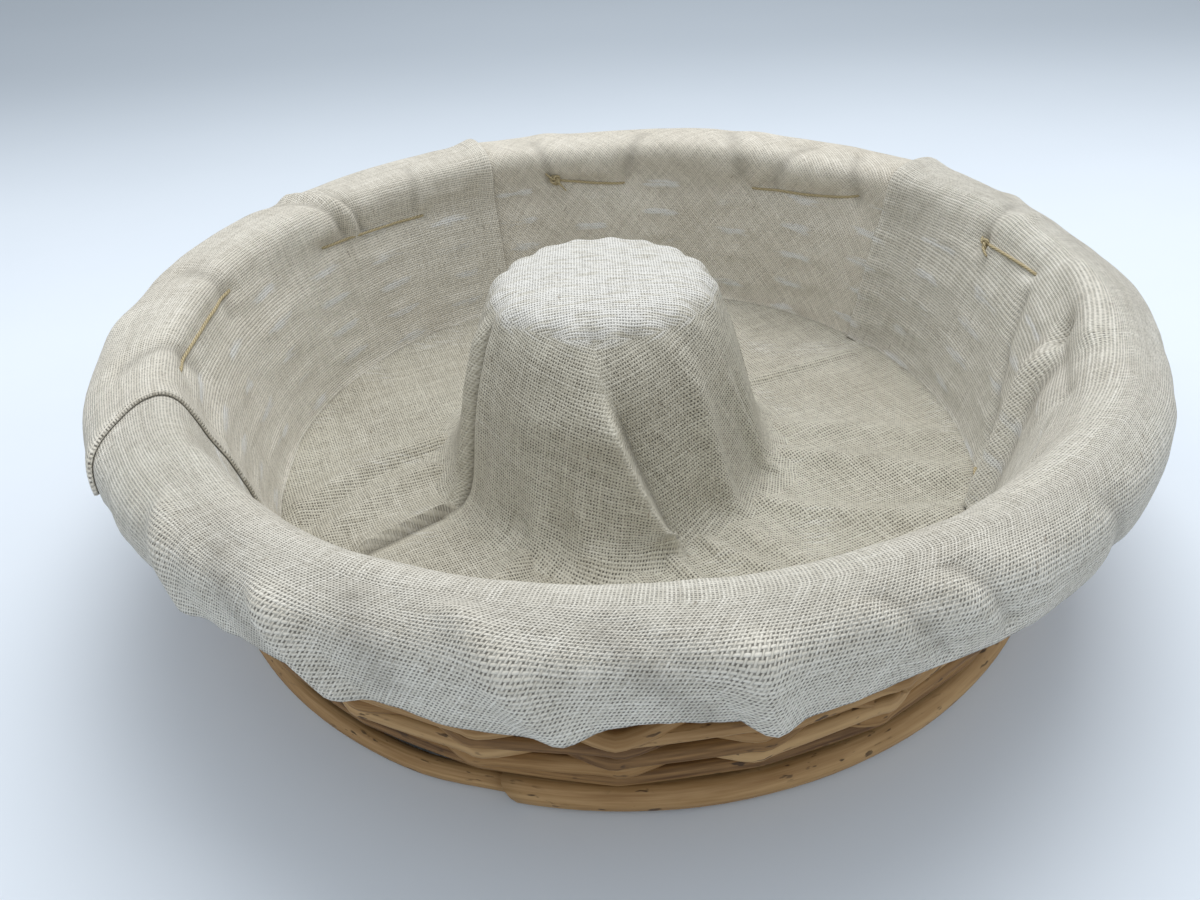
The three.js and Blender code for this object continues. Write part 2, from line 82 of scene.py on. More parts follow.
CONE_FOOT_RADIUS = 55
CONE_STAKES = 7
CONE_ROD_DIAMETER = 4.2
CONE_WEAVE_PITCH = 8
CONE_WEAVE_OFFSET = 5
CONE_CROWN_GAP = 7
CONE_CLOTH_INSIDE = 1.4
HOOD_FOOT = 12.5
STITCH_HEIGHT = 59
STITCH_STAKES = (1, 4, 7, 10, 13, 16, 19, 22, 24)
SEAM_LEFT = 200
SEAM_BACK = 113
SEAM_RIGHT = 37

# Sizes that only the scene has
FOOT_JOINT_SHIFT = 3.5
WALE_HEIGHT = 8.8
WALE_PITCH = 2.7
WALE_OFFSET = 4.2
WALE_STEPS = 172
HOOD_ROOM = 3.4
LINEN_THICKNESS = 0.7
FLOOR_HEIGHT = 12.2
# Stitches that the photograph shows elsewhere than in the part: azimuth and height at both ends, by stake
STITCH_ENDS = {
    1: (1.5, 63, 15, 62.2), 4: (43.5, 62, 62, 58), 7: (86.5, 57.6, 101, 62), 10: (127, 57.2, 149, 59.4),
    13: (170.5, 65.4, 191, 66),
}
KNOT_STAKES = (1, 7)
# This stitch lies under the cloth, and only a loop in the corner of the floor shows
LOOP_STAKE = 24
# Millimetres per degree: round the wall, along its folds, at the rim and on the floor
WALL_DEGREE = 2.3
FOLD_DEGREE = 2.2
RIM_DEGREE = 2.44
FLOOR_DEGREE = 1.45


# Small helpers

def polar(radius, azimuth, height):
    angle = math.radians(azimuth)
    return Vector((radius * math.cos(angle), radius * math.sin(angle), height))


def mix(a, b, share):
    return a + (b - a) * share


def ease(value, low, high):
    """Rises smoothly from 0 at low to 1 at high."""
    share = min(max((value - low) / (high - low), 0.0), 1.0)
    return share * share * (3 - 2 * share)


def bell(value, width):
    return math.exp(-(value / width) ** 2)


def turn_between(azimuth, other):
    """Signed degrees by which an azimuth lies beyond another, the short way round."""
    return (azimuth - other + 180) % 360 - 180


def arc_between(azimuth, other, radius):
    """The same in millimetres round a circle."""
    return turn_between(azimuth, other) * radius * math.pi / 180


def smooth_line(points, steps):
    """A soft curve through the points."""
    line = []
    last = len(points) - 1
    for index in range(last):
        before = points[max(index - 1, 0)]
        start = points[index]
        end = points[index + 1]
        after = points[min(index + 2, last)]
        for step in range(steps):
            t = step / steps
            line.append(
                0.5 * (2 * start + (end - before) * t
                       + (2 * before - 5 * start + 4 * end - after) * t ** 2
                       + (3 * start - before - 3 * end + after) * t ** 3)
            )
    line.append(points[last].copy())
    return line


def wander(x, y, size, seed):
    """Soft noise from -1 to 1 that changes over the given size."""
    return noise.noise(Vector((x / size + seed * 7.3, y / size - seed * 3.1, seed * 1.7)))


# Camera, floor and light

def set_camera():
    """The photograph's view: close, wide and about 36 degrees down."""
    down = 0.627
    roll = -0.0515
    ahead = Vector((0, math.cos(down), -math.sin(down)))
    right = Vector((1, 0, 0))
    up = right.cross(ahead)
    camera = bpy.data.objects.new("camera", bpy.data.cameras.new("camera"))
    camera.data.sensor_width = 36
    camera.data.lens = 27
    camera.data.clip_start = 0.01
    across = right * math.cos(roll) + up * math.sin(roll)
    rise = up * math.cos(roll) - right * math.sin(roll)
    turn = Matrix((across, rise, -ahead)).transposed()
    aim = Vector((-8.27, 0, 9.87))
    distance = 304.83
    place = aim - ahead * distance
    camera.matrix_world = Matrix.Translation(place * MM) @ turn.to_4x4()
    scene.collection.objects.link(camera)
    scene.camera = camera


def set_light():
    """A sky that is brighter overhead, and a softbox aimed at the middle of the basket."""
    world = bpy.data.worlds.new("studio")
    scene.world = world
    world.use_nodes = True
    w = Wiring(world.node_tree)
    rise = w.node("SeparateXYZ", {0: w.node("TexCoord").outputs["Generated"]}).outputs[2]
    strength = w.between(rise, 0.0, 0.75, 0.54, 0.8)
    w.feed(world.node_tree.nodes["Background"], {"Color": (0.93, 0.97, 1.0, 1), "Strength": strength})
    lamp = bpy.data.lights.new("overhead_softbox", "AREA")
    lamp.size = 0.7
    lamp.energy = 6.6
    lamp.color = (1.0, 0.99, 0.97)
    holder = bpy.data.objects.new("overhead_softbox", lamp)
    place = Vector((0.1, 0.36, 1.0))
    holder.location = place
    holder.rotation_euler = (-place).to_track_quat("-Z", "Y").to_euler()
    scene.collection.objects.link(holder)


# Materials

class Wiring:
    """Adds nodes to one node tree and joins them."""

    def __init__(self, tree):
        self.tree = tree

    def feed(self, made, inputs):
        for name, value in inputs.items():
            if isinstance(value, bpy.types.NodeSocket):
                self.tree.links.new(value, made.inputs[name])
            else:
                made.inputs[name].default_value = value

    def node(self, kind, inputs=None, **settings):
        made = self.tree.nodes.new("ShaderNode" + kind)
        for name, value in settings.items():
            setattr(made, name, value)
        self.feed(made, inputs or {})
        return made

    def math(self, operation, *values):
        return self.node("Math", dict(enumerate(values)), operation=operation).outputs[0]

    def vector(self, operation, *values):
        return self.node("VectorMath", dict(enumerate(values)), operation=operation).outputs[0]

    def scaled(self, value, amount):
        return self.node("VectorMath", {0: value, 3: amount}, operation="SCALE").outputs[0]

    def stretched(self, place, x, y):
        return self.node("Mapping", {"Vector": place, "Scale": (x, y, 1.0)}).outputs[0]

    def attribute(self, name):
        return self.node("Attribute", attribute_name=name).outputs["Fac"]

    def bump(self, height, distance, strength):
        values = {"Height": height, "Distance": distance, "Strength": strength}
        return self.node("Bump", values).outputs[0]

    def blend(self, share, first, second, kind="MIX"):
        made = self.node("Mix", {0: share, 6: first, 7: second}, data_type="RGBA", blend_type=kind)
        return made.outputs[2]

    def noise(self, place, scale, detail=2.0, roughness=0.5, output=0):
        values = {"Vector": place, "Scale": scale, "Detail": detail, "Roughness": roughness}
        return self.node("TexNoise", values).outputs[output]

    def between(self, value, low, high, start=0.0, end=1.0):
        values = {0: value, 1: low, 2: high, 3: start, 4: end}
        return self.node("MapRange", values, interpolation_type="SMOOTHSTEP").outputs[0]

    def ramp(self, value, stops):
        made = self.node("ValToRGB", {0: value})
        points = made.color_ramp.elements
        while len(points) < len(stops):
            points.new(0.5)
        for point, (place, colour) in zip(points, stops):
            point.position = place
            point.color = (*colour, 1)
        return made.outputs[0]


def weave_group():
    """Plain weave of uneven threads: how high, how pale, and where the light falls through."""
    group = bpy.data.node_groups.new("plain_weave", "ShaderNodeTree")
    group.interface.new_socket("Cloth", in_out="INPUT", socket_type="NodeSocketVector")
    for name in ("Spacing", "Warp", "Weft"):
        group.interface.new_socket(name, in_out="INPUT", socket_type="NodeSocketFloat")
    for name in ("Height", "Tone", "Gap"):
        group.interface.new_socket(name, in_out="OUTPUT", socket_type="NodeSocketFloat")
    w = Wiring(group)
    given = group.nodes.new("NodeGroupInput").outputs
    cloth = given["Cloth"]
    half = (0.5, 0.5, 0.5)
    slow = w.scaled(w.vector("SUBTRACT", w.noise(cloth, 40.0, output=1), half), 0.0006)
    quick = w.scaled(w.vector("SUBTRACT", w.noise(cloth, 650.0, 1.0, output=1), half), 0.0002)
    moved = w.vector("ADD", w.vector("ADD", cloth, slow), quick)
    threads = w.scaled(moved, w.math("DIVIDE", 1.0, given["Spacing"]))
    split = w.node("SeparateXYZ", {0: threads}).outputs

    def one_way(across, along, width, seed, sign):
        number = w.math("FLOOR", across)
        shade = w.node("TexWhiteNoise", {"W": w.math("ADD", number, seed)}, noise_dimensions="1D").outputs[0]
        place = {0: w.math("MULTIPLY", number, 3.7), 1: w.math("MULTIPLY", along, 0.07)}
        slub = w.noise(w.node("CombineXYZ", place).outputs[0], 1.0, 1.0)
        thick = w.math("MULTIPLY_ADD", slub, 0.2, w.math("SUBTRACT", width, 0.1))
        side = w.math("SUBTRACT", w.math("SUBTRACT", across, number), 0.5)
        side = w.math("DIVIDE", side, thick)
        body = w.math("SQRT", w.math("MAXIMUM", w.math("SUBTRACT", 1.0, w.math("MULTIPLY", side, side)), 0.0))
        phase = w.math("ADD", w.math("SUBTRACT", along, 0.5), number)
        swing = w.math("COSINE", w.math("MULTIPLY", phase, math.pi))
        lift = w.math("MULTIPLY_ADD", swing, 0.3 * sign, 0.7)
        tone = w.math("MULTIPLY_ADD", slub, 0.78, w.math("MULTIPLY", shade, 0.22))
        return w.math("MULTIPLY", body, lift), tone

    warp, warp_tone = one_way(split[0], split[1], given["Warp"], 3.0, 1)
    weft, weft_tone = one_way(split[1], split[0], given["Weft"], 71.0, -1)
    height = w.math("MAXIMUM", warp, weft)
    front = w.math("GREATER_THAN", warp, weft)
    tone = w.math("MULTIPLY_ADD", w.math("SUBTRACT", warp_tone, weft_tone), front, weft_tone)
    corner = w.vector("FLOOR", w.vector("ADD", threads, half))
    luck = w.node("TexWhiteNoise", {"Vector": corner}, noise_dimensions="2D").outputs[0]
    # Where the threads part; the linen paints shade there
    gap_shade = w.between(height, 0.2, 0.72, 1.0, 0.0)
    gap_shade = w.math("MULTIPLY", gap_shade, w.between(luck, 0.0, 0.8, 0.45, 1.0))
    w.feed(group.nodes.new("NodeGroupOutput"), {"Height": height, "Tone": tone, "Gap": gap_shade})
    return group


WEAVE = weave_group()


def new_material(name):
    material = bpy.data.materials.new(name)
    material.use_nodes = True
    wiring = Wiring(material.node_tree)
    shader = material.node_tree.nodes["Principled BSDF"]
    return material, wiring, shader


def linen(name, turn, tint, warp=0.34, weft=0.34, spacing=0.00075):
    """Unbleached linen: slubby threads, flax flecks and chalky pale places, with painted shade in the gaps
    between threads and in the creases.
    """
    material, w, shader = new_material(name)
    flat = w.node("UVMap", uv_map="cloth").outputs[0]
    values = {"Vector": flat, "Rotation": (0, 0, math.radians(turn)), "Scale": (1, 1.14, 1)}
    cloth = w.node("Mapping", values, vector_type="TEXTURE").outputs[0]
    values = {"Cloth": cloth, "Spacing": spacing, "Warp": warp, "Weft": weft}
    weave = w.node("Group", values, node_tree=WEAVE)
    place = w.node("TexCoord").outputs["Object"]
    thread = w.ramp(weave.outputs["Tone"], [
        (0.25, (0.66, 0.635, 0.575)),
        (0.5, (0.78, 0.76, 0.705)),
        (0.75, (0.875, 0.86, 0.815)),
    ])
    broad = w.noise(place, 26.0, 3.0)
    cast = w.ramp(broad, [(0.3, (0.91, 0.895, 0.87)), (0.7, (1.03, 1.03, 1.025))])
    thread = w.blend(1.0, thread, cast, "MULTIPLY")
    thread = w.blend(1.0, thread, (*tint, 1), "MULTIPLY")
    paleness = w.attribute("paleness")
    chalk = w.noise(w.stretched(flat, 110.0, 800.0), 1.0, 2.0, 0.6)
    pale_share = w.math("MULTIPLY", paleness, w.between(w.math("MULTIPLY_ADD", paleness, 0.3, chalk), 0.56, 0.76))
    # Where the pale mark is strong, as on top of the hood, the colour goes nearly white all over
    pale_share = w.math("MAXIMUM", pale_share, w.between(paleness, 0.6, 0.9, 0.0, 0.4))
    thread = w.blend(pale_share, thread, (0.89, 0.885, 0.86, 1))
    fleck = w.between(w.noise(w.stretched(cloth, 1.0, 0.22), 900.0, 1.0), 0.73, 0.78)
    thread = w.blend(w.math("MULTIPLY", fleck, 0.5), thread, (0.17, 0.11, 0.06, 1))
    # Painted shade in the gaps between threads, standing for the shaded willow seen through the weave; loose
    # sets how much of it shows
    shown = w.math("MULTIPLY_ADD", w.attribute("loose"), 0.5, 0.42)
    gap_shade = w.math("MULTIPLY", weave.outputs["Gap"], shown)
    colour = w.blend(gap_shade, thread, (0.035, 0.029, 0.021, 1))
    # Painted shade in creases, under the seam lips and along folds, read from a vertex attribute, darkens the
    # colour
    crease_shade = w.math("MULTIPLY", w.attribute("crease_shade"), 0.6)
    fibre = w.noise(cloth, 2600.0, 2.0)
    relief = w.math("MULTIPLY_ADD", fibre, 0.25, weave.outputs["Height"])
    w.feed(shader, {
        "Base Color": w.blend(crease_shade, colour, (0.09, 0.075, 0.055, 1)),
        "Roughness": 0.93,
        "Specular IOR Level": 0.2,
        "Sheen Weight": 0.12,
        "Normal": w.bump(relief, 0.00035, 0.9),
    })
    return material


def willow():
    """Peeled willow: honey tan, streaked along the rod, with dark specks and knots."""
    material, w, shader = new_material("peeled_willow")
    grain = w.node("UVMap", uv_map="grain").outputs[0]
    tone = w.attribute("tone")
    shifted = w.node("CombineXYZ", {0: w.math("MULTIPLY", tone, 3.0), 1: tone}).outputs[0]
    grain = w.vector("ADD", grain, shifted)
    streak = w.noise(w.stretched(grain, 45.0, 900.0), 1.0, 3.0, 0.6)
    patch = w.noise(w.stretched(grain, 14.0, 160.0), 1.0, 3.0)
    shade = w.math("ADD", w.math("MULTIPLY", streak, 0.45), w.math("MULTIPLY", patch, 0.4))
    shade = w.math("MULTIPLY_ADD", tone, 0.34, w.math("SUBTRACT", shade, 0.05))
    colour = w.ramp(shade, [
        (0.3, (0.095, 0.042, 0.013)),
        (0.5, (0.32, 0.18, 0.068)),
        (0.72, (0.53, 0.345, 0.165)),
    ])
    speck = w.between(w.noise(w.stretched(grain, 190.0, 520.0), 1.0, 2.0, 0.6), 0.60, 0.67)
    region = w.between(w.noise(w.stretched(grain, 38.0, 75.0), 1.0, 1.0), 0.42, 0.58)
    mark = w.math("MULTIPLY", w.math("MULTIPLY", speck, region), 0.85)
    relief = w.math("MULTIPLY_ADD", mark, 0.6, streak)
    w.feed(shader, {
        "Base Color": w.blend(mark, colour, (0.045, 0.024, 0.012, 1)),
        "Roughness": w.between(patch, 0.3, 0.7, 0.48, 0.66),
        "Specular IOR Level": 0.35,
        "Normal": w.bump(relief, 0.00012, 0.7),
    })
    return material


def twine_finish():
    """Yellowish linen twine, two plies twisted."""
    material, w, shader = new_material("linen_twine")
    grain = w.node("UVMap", uv_map="grain").outputs[0]
    split = w.node("SeparateXYZ", {0: grain}).outputs
    slant = w.math("MULTIPLY_ADD", split[1], 2.0, split[0])
    ply = w.math("SINE", w.math("MULTIPLY", slant, 4200.0))
    ply = w.math("MULTIPLY_ADD", ply, 0.5, 0.5)
    hair = w.noise(grain, 1500.0, 2.0)
    shade = w.math("ADD", w.math("MULTIPLY", ply, 0.6), w.math("MULTIPLY", hair, 0.4))
    colour = w.ramp(shade, [
        (0.2, (0.30, 0.235, 0.125)),
        (0.6, (0.56, 0.47, 0.28)),
        (0.9, (0.70, 0.61, 0.41)),
    ])
    w.feed(shader, {"Base Color": colour, "Roughness": 0.8, "Normal": w.bump(shade, 0.0003, 0.8)})
    return material


def paper_floor():
    material, w, shader = new_material("pale_paper")
    place = w.node("TexCoord").outputs["Object"]
    tooth = w.noise(place, 6.0, 4.0)
    colour = w.ramp(tooth, [(0.3, (0.73, 0.795, 0.88)), (0.7, (0.76, 0.825, 0.91))])
    # Painted shade: the paper grows darker towards the back
    far = w.between(w.node("SeparateXYZ", {0: place}).outputs[1], 0.05, 0.7, 0.0, 0.8)
    colour = w.blend(far, colour, (0.33, 0.375, 0.43, 1))
    w.feed(shader, {"Base Color": colour, "Roughness": 0.85, "Specular IOR Level": 0.2})
    return material


def mesh_object(name, bm, material):
    mesh = bpy.data.meshes.new(name)
    bm.to_mesh(mesh)
    bm.free()
    mesh.materials.append(material)
    made = bpy.data.objects.new(name, mesh)
    scene.collection.objects.link(made)
    return made


def lay_floor():
    bm = bmesh.new()
    bmesh.ops.create_grid(bm, x_segments=4, y_segments=4, size=2.5)
    bmesh.ops.translate(bm, vec=(0, 0.6, -0.0001), verts=bm.verts)
    floor = mesh_object("table_paper", bm, paper_floor())


set_camera()
set_light()
lay_floor()
WILLOW = willow()
TWINE = twine_finish()


def new_piece(cover, node, bm, material):
    """Turns a shape in millimetres into a piece that rides on the basket and stands for a node."""
    bmesh.ops.scale(bm, vec=(MM, MM, MM), verts=bm.verts)
    piece = mesh_object(f"{cover}_{node}", bm, material)
    piece.data.shade_smooth()
    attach(piece, "root")
    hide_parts(node)
    return piece


# Willow rods

def ring_frames(line):
    """Two directions across the line at each of its points, carried along without twist."""
    frames = []
    last = len(line) - 1
    across = None
    for index in range(len(line)):
        ahead = (line[min(index + 1, last)] - line[max(index - 1, 0)]).normalized()
        if across is None:
            across = ahead.orthogonal()
        across = (across - ahead * across.dot(ahead)).normalized()
        frames.append((across, ahead.cross(across), ahead))
    return frames


def add_rod(bm, line, start, end, tone, sides=10, slant=None):
    """Rolls a flat strip into a rod along a line, from one diameter to another, and closes its ends."""
    last = len(line) - 1
    along = [0.0]
    for before, after in zip(line, line[1:]):
        along.append(along[-1] + (after - before).length)
    frames = ring_frames(line)
    rod = bmesh.new()
    grain = rod.loops.layers.uv.new("grain")
    tones = rod.verts.layers.float.new("tone")
    bmesh.ops.create_grid(rod, x_segments=last, y_segments=sides, size=0.5)
    for face in rod.faces:
        for loop in face.loops:
            index = round((loop.vert.co.x + 0.5) * last)
            loop[grain].uv = (along[index] * MM, (loop.vert.co.y + 0.5) * math.pi * start * MM)
    for vert in rod.verts:
        index = round((vert.co.x + 0.5) * last)
        angle = (vert.co.y + 0.5) * 2 * math.pi
        across, up, ahead = frames[index]
        radius = mix(start, end, along[index] / along[-1]) / 2
        radius *= 1 + 0.05 * wander(along[index], tone * 900, 22, 1)
        offset = (across * math.cos(angle) + up * math.sin(angle)) * radius
        if slant and index == 0:
            offset += ahead * offset.dot(slant)
        vert.co = line[index] + offset
        vert[tones] = tone
    bmesh.ops.remove_doubles(rod, verts=rod.verts, dist=0.001)
    bmesh.ops.holes_fill(rod, edges=[edge for edge in rod.edges if edge.is_boundary], sides=0)
    bmesh.ops.recalc_face_normals(rod, faces=rod.faces)
    mesh = bpy.data.meshes.new("rod")
    rod.to_mesh(mesh)
    rod.free()
    bm.from_mesh(mesh)
    bpy.data.meshes.remove(mesh)


def rod_piece(node, line, start, end, tone, sides=10):
    bm = bmesh.new()
    add_rod(bm, line, start, end, tone, sides)
    new_piece("willow", node, bm, WILLOW)


def stake_angle(stake):
    return (stake - 0.5) * SPACE


def stake_radius(height):
    share = (height - STAKE_FOOT_HEIGHT) / (BORDER_HEIGHT - STAKE_FOOT_HEIGHT)
    return mix(BASE_RADIUS, RIM_RADIUS, min(max(share, 0), 1) ** FLARE)


def stake_line(stake):
    """Out of the base, up the wall, then down along the rim in front of the next stakes."""
    angle = stake_angle(stake)
    low = STAKE_FOOT_HEIGHT
    points = [
        polar(BASE_EDGE, angle, low),
        polar(BASE_RADIUS - BEND_RADIUS, angle, low),
        polar(BASE_RADIUS - BEND_RADIUS * 0.3, angle, low + BEND_RADIUS * 0.3),
    ]
    for step in range(5):
        height = mix(low + BEND_RADIUS, BORDER_HEIGHT - BEND_RADIUS, step / 4)
        points.append(polar(stake_radius(height), angle, height))
    points.append(polar(RIM_RADIUS, angle + SPACE / 12, BORDER_HEIGHT - BEND_RADIUS * 0.5))
    for step in range(1, round(BORDER_SPACES * 2) + 1):
        space = step / 2
        radius = RIM_RADIUS + space * (BORDER_STEP - 0.6)
        points.append(polar(radius, angle + space * SPACE, BORDER_HEIGHT - 1.2 - 0.5 * space))
    return smooth_line(points, 4)


def weaver_place(stake, step, rise):
    """Place in the plain weave: outside every other stake, inside the next, closer under the band."""
    height = FIRST_WEAVER_HEIGHT + WEAVER_PITCH * step / STAKES + rise
    side = 1 if stake % 2 == 0 else -1
    reach = WEAVE_OFFSET - 0.9 - 2 * ease(height, 40, 60)
    return polar(stake_radius(height) + side * reach, stake_angle(step), height)


def wale_place(stake, step, rise):
    """Place in the wale: outside two stakes and inside the third, where the neighbours close over it.

    The first round stays outside and lies on the foot rod.
    """
    height = WALE_HEIGHT + WALE_PITCH * step / STAKES + rise
    height += (0, -0.75, 0.75)[stake % 3]
    reach = -WALE_OFFSET if stake % 3 == 0 and stake > STAKES else WALE_OFFSET
    return polar(stake_radius(height) + reach, stake_angle(step), height)


def side_weaver_line(first, last, seed, place):
    """Straight from stake to stake, with a tight bend at each one."""
    points = []
    for stake in range(math.floor(first), math.ceil(last) + 1):
        for step in (stake - 0.13, stake + 0.13):
            if first <= step <= last:
                points.append(place(stake, step, 0.45 * wander(stake * 1.3, seed, 1, 2)))
    return smooth_line(points, 4)


def add_side_weave(chance):
    """Each long weaver is several willow rods, laid butt to tip behind a stake.

    The lowest one is a wale of thin rods beaten down closely, which closes the wall at the foot.
    """
    for number in range(3):
        bm = bmesh.new()
        if number == 0:
            joints = [0.55, 31, 61, 91, 121, 148, WALE_STEPS + 0.45]
            place = wale_place
            thick = 4.5
            thin = 3.8
        else:
            first = WEAVER_STEPS * number // 3
            joints = [first + 0.55, first + 28, first + 58, WEAVER_STEPS * (number + 1) // 3 + 0.45]
            place = weaver_place
            thick = 5.2
            thin = 4.4
        for rod, (start, end) in enumerate(zip(joints, joints[1:])):
            line = side_weaver_line(start, end, number * 5 + rod, place)
            add_rod(bm, line, thick, thin, chance.random(), 10)
        new_piece("willow", f"side_weaver_{number + 1}", bm, WILLOW)


def add_foot_rod():
    """The thick rod round the foot: its slant-cut butt shows at the front, its tip tucks in behind."""
    thick = 7.4
    thin = 5.0
    line = []
    steps = 150
    for index in range(steps + 1):
        share = index / steps
        height = mix(thick, thin, share) / 2
        inward = 1.6 * ease(share, 0.97, 1.0)
        azimuth = FOOT_JOINT + FOOT_JOINT_SHIFT + 359 * share
        line.append(polar(FOOT_RADIUS - inward, azimuth, height))
    bm = bmesh.new()
    add_rod(bm, line, thick, thin, 0.62, 14, Vector((0, 0, -0.9)))
    new_piece("willow", "foot_rod", bm, WILLOW)


def base_stick_line(row, turn, rise):
    spacing = SPOKE_DIAMETER + CLEARANCE
    azimuth = row * 360 / SPOKES
    half = [
        Vector((2.5 * spacing, row * spacing, SPOKE_HEIGHT + rise)),
        polar(SPREAD_RADIUS, azimuth, SPOKE_HEIGHT),
        polar(BASE_EDGE - CLEARANCE, azimuth, SPOKE_HEIGHT),
    ]
    mirrored = [Vector((-point.x, point.y, point.z)) for point in reversed(half)]
    around = Matrix.Rotation(math.radians(turn), 3, "Z")
    return smooth_line([around @ point for point in mirrored + half], 6)


def add_base(chance):
    for index, row in enumerate((-1, 0, 1)):
        low = base_stick_line(row, 0, 0)
        high = base_stick_line(row, 90, SPOKE_DIAMETER + CLEARANCE)
        for number, line in ((index + 1, low), (index + 4, high)):
            rod_piece(f"base_stick_{number}", line, 3.7, 3.4, chance.random())
    outer = BASE_EDGE - CLEARANCE - BASE_WEAVER_DIAMETER / 2
    turns = (outer - BASE_WEAVE_INNER) / BASE_WEAVE_SPACING / 2 - 0.5
    steps = math.floor(turns * SPOKES)
    for index, side in enumerate((1, -1)):
        line = []
        for count in range(steps * 8 + 1):
            step = count / 8
            radius = BASE_WEAVE_INNER + BASE_WEAVE_SPACING * (2 * step / SPOKES + index)
            height = SPOKE_HEIGHT + side * BASE_WEAVE_OFFSET * math.cos(math.pi * step)
            line.append(polar(radius, step * 360 / SPOKES, height))
        rod_piece(f"base_weaver_{index + 1}", line, 2.9, 2.6, chance.random())


def cone_place(radius, azimuth, height):
    return polar(radius, azimuth, height) + Vector((CONE_SHIFT, 0, 0))


def hood_radius(height):
    share = (height - HOOD_FOOT) / (CONE_HEIGHT - HOOD_FOOT)
    return mix(CONE_FOOT_RADIUS, CONE_TOP_RADIUS, share)


def add_cone(chance):
    """The small basket that stands upside down in the middle."""
    wall_half = CONE_WEAVE_OFFSET + CONE_ROD_DIAMETER / 2

    def stake_circle(height):
        return hood_radius(height) - HOOD_ROOM - wall_half

    border_height = SPOKE_HEIGHT + (SPOKE_DIAMETER + CONE_ROD_DIAMETER) / 2 + CLEARANCE
    start = border_height + CONE_ROD_DIAMETER / 2 + CLEARANCE
    top = CONE_HEIGHT - CONE_CLOTH_INSIDE - CONE_ROD_DIAMETER / 2
    shoulder = top - CONE_ROD_DIAMETER * 1.5
    for index in range(CONE_STAKES):
        angle = index * 360 / CONE_STAKES
        points = []
        for height in (start, mix(start, shoulder, 0.5), shoulder):
            points.append(cone_place(stake_circle(height), angle, height))
        points.append(cone_place(stake_circle(top) - CONE_ROD_DIAMETER, angle, top))
        points.append(cone_place(CONE_CROWN_GAP, angle, top))
        rod_piece(f"cone_stake_{index + 1}", smooth_line(points, 6), 4.2, 3.6, chance.random())
    first = start + CONE_ROD_DIAMETER / 2
    last = shoulder - CONE_ROD_DIAMETER / 2
    steps = math.floor((last - first) / CONE_WEAVE_PITCH * CONE_STAKES)
    line = []
    for count in range(steps * 10 + 1):
        step = 0.5 + count / 10
        height = first + CONE_WEAVE_PITCH * step / CONE_STAKES
        radius = stake_circle(height) + CONE_WEAVE_OFFSET * math.cos(math.pi * step)
        line.append(cone_place(radius, step * 360 / CONE_STAKES, height))
    rod_piece("cone_weaver", line, 4.3, 3.6, chance.random())
    line = [cone_place(stake_circle(start), 2 + 356 * step / 90, border_height) for step in range(91)]
    rod_piece("cone_border", line, 4.2, 4.0, chance.random())


chance = random.Random(7)
for stake in range(1, STAKES + 1):
    rod_piece(f"side_stake_{stake}", stake_line(stake), 4.5, 3.0, chance.random(), 8)
add_side_weave(chance)
add_foot_rod()
add_base(chance)
add_cone(chance)


# Linen

# Section of the wall lining as radius and height: from the floor corner up, over the rim and down to the hem
FULL_SECTION = [
    (110.6, 12.3), (111.8, 13.2), (112.7, 16), (113.8, 22), (115.2, 30), (117, 40), (118.9, 50),
    (120.6, 56), (120.9, 60), (120.4, 64), (119.8, 68), (120.1, 71.4), (122.8, 74.3), (130.6, 75.6),
    (140.2, 74.8), (145.8, 71.9), (147.6, 68), (147.9, 62.5), (147.2, 56.5), (145.8, 50), (144, 43.5),
    (142.2, 38),
]
# The same where the roll over the rim is thin, with as many points
SLIM_SECTION = [
    (110.6, 12.3), (111.8, 13.2), (112.7, 16), (113.8, 22), (115.4, 30), (117.4, 40), (119.8, 50),
    (122.6, 58.5), (124.4, 62.6), (126.6, 66.5), (129.2, 69.8), (131.9, 72.2), (134.8, 73.7),
    (138.2, 74.2), (141.9, 73.4), (145, 71.2), (146.9, 67.5), (147.4, 62.3), (147, 56.5), (145.8, 50),
    (144, 43.5), (142.2, 38),
]
# How thin the roll is, by azimuth
SLIM_LINE = [
    (0, 1), (14, 0.9), (36, 0.3), (50, 0.0), (110, 0.0), (150, 0.25), (170, 0.45), (195, 0.5), (212, 0.6),
    (235, 0.75), (290, 0.75), (315, 1), (360, 1),
]
# Height of a place on the inside of the wall, less its length along the section
WALL_RISE = 10
# Length along the section from which the cloth is outside the rim
OUTSIDE_LENGTH = 72
# Height of the cut edge outside, by azimuth
HEM_LINE = [
    (0, 49.5), (20, 51.5), (45, 48.5), (70, 50.5), (95, 48), (120, 51.5), (145, 49.5), (170, 51.5),
    (188, 59.5), (198, 64), (205, 65), (216, 62.5), (226, 58), (234, 56), (239, 55), (244, 54.5),
    (249, 53), (253, 51.5), (257, 50.9), (259, 50.5), (262.4, 52), (265.5, 54), (268.6, 55.9),
    (271.7, 56.5), (274.8, 54), (278, 52), (279.7, 51.5), (283, 52.5), (285.5, 54), (288.3, 55),
    (294, 56.5), (300, 55.5), (310, 54.5), (325, 51.5), (340, 52.5), (360, 49.5),
]
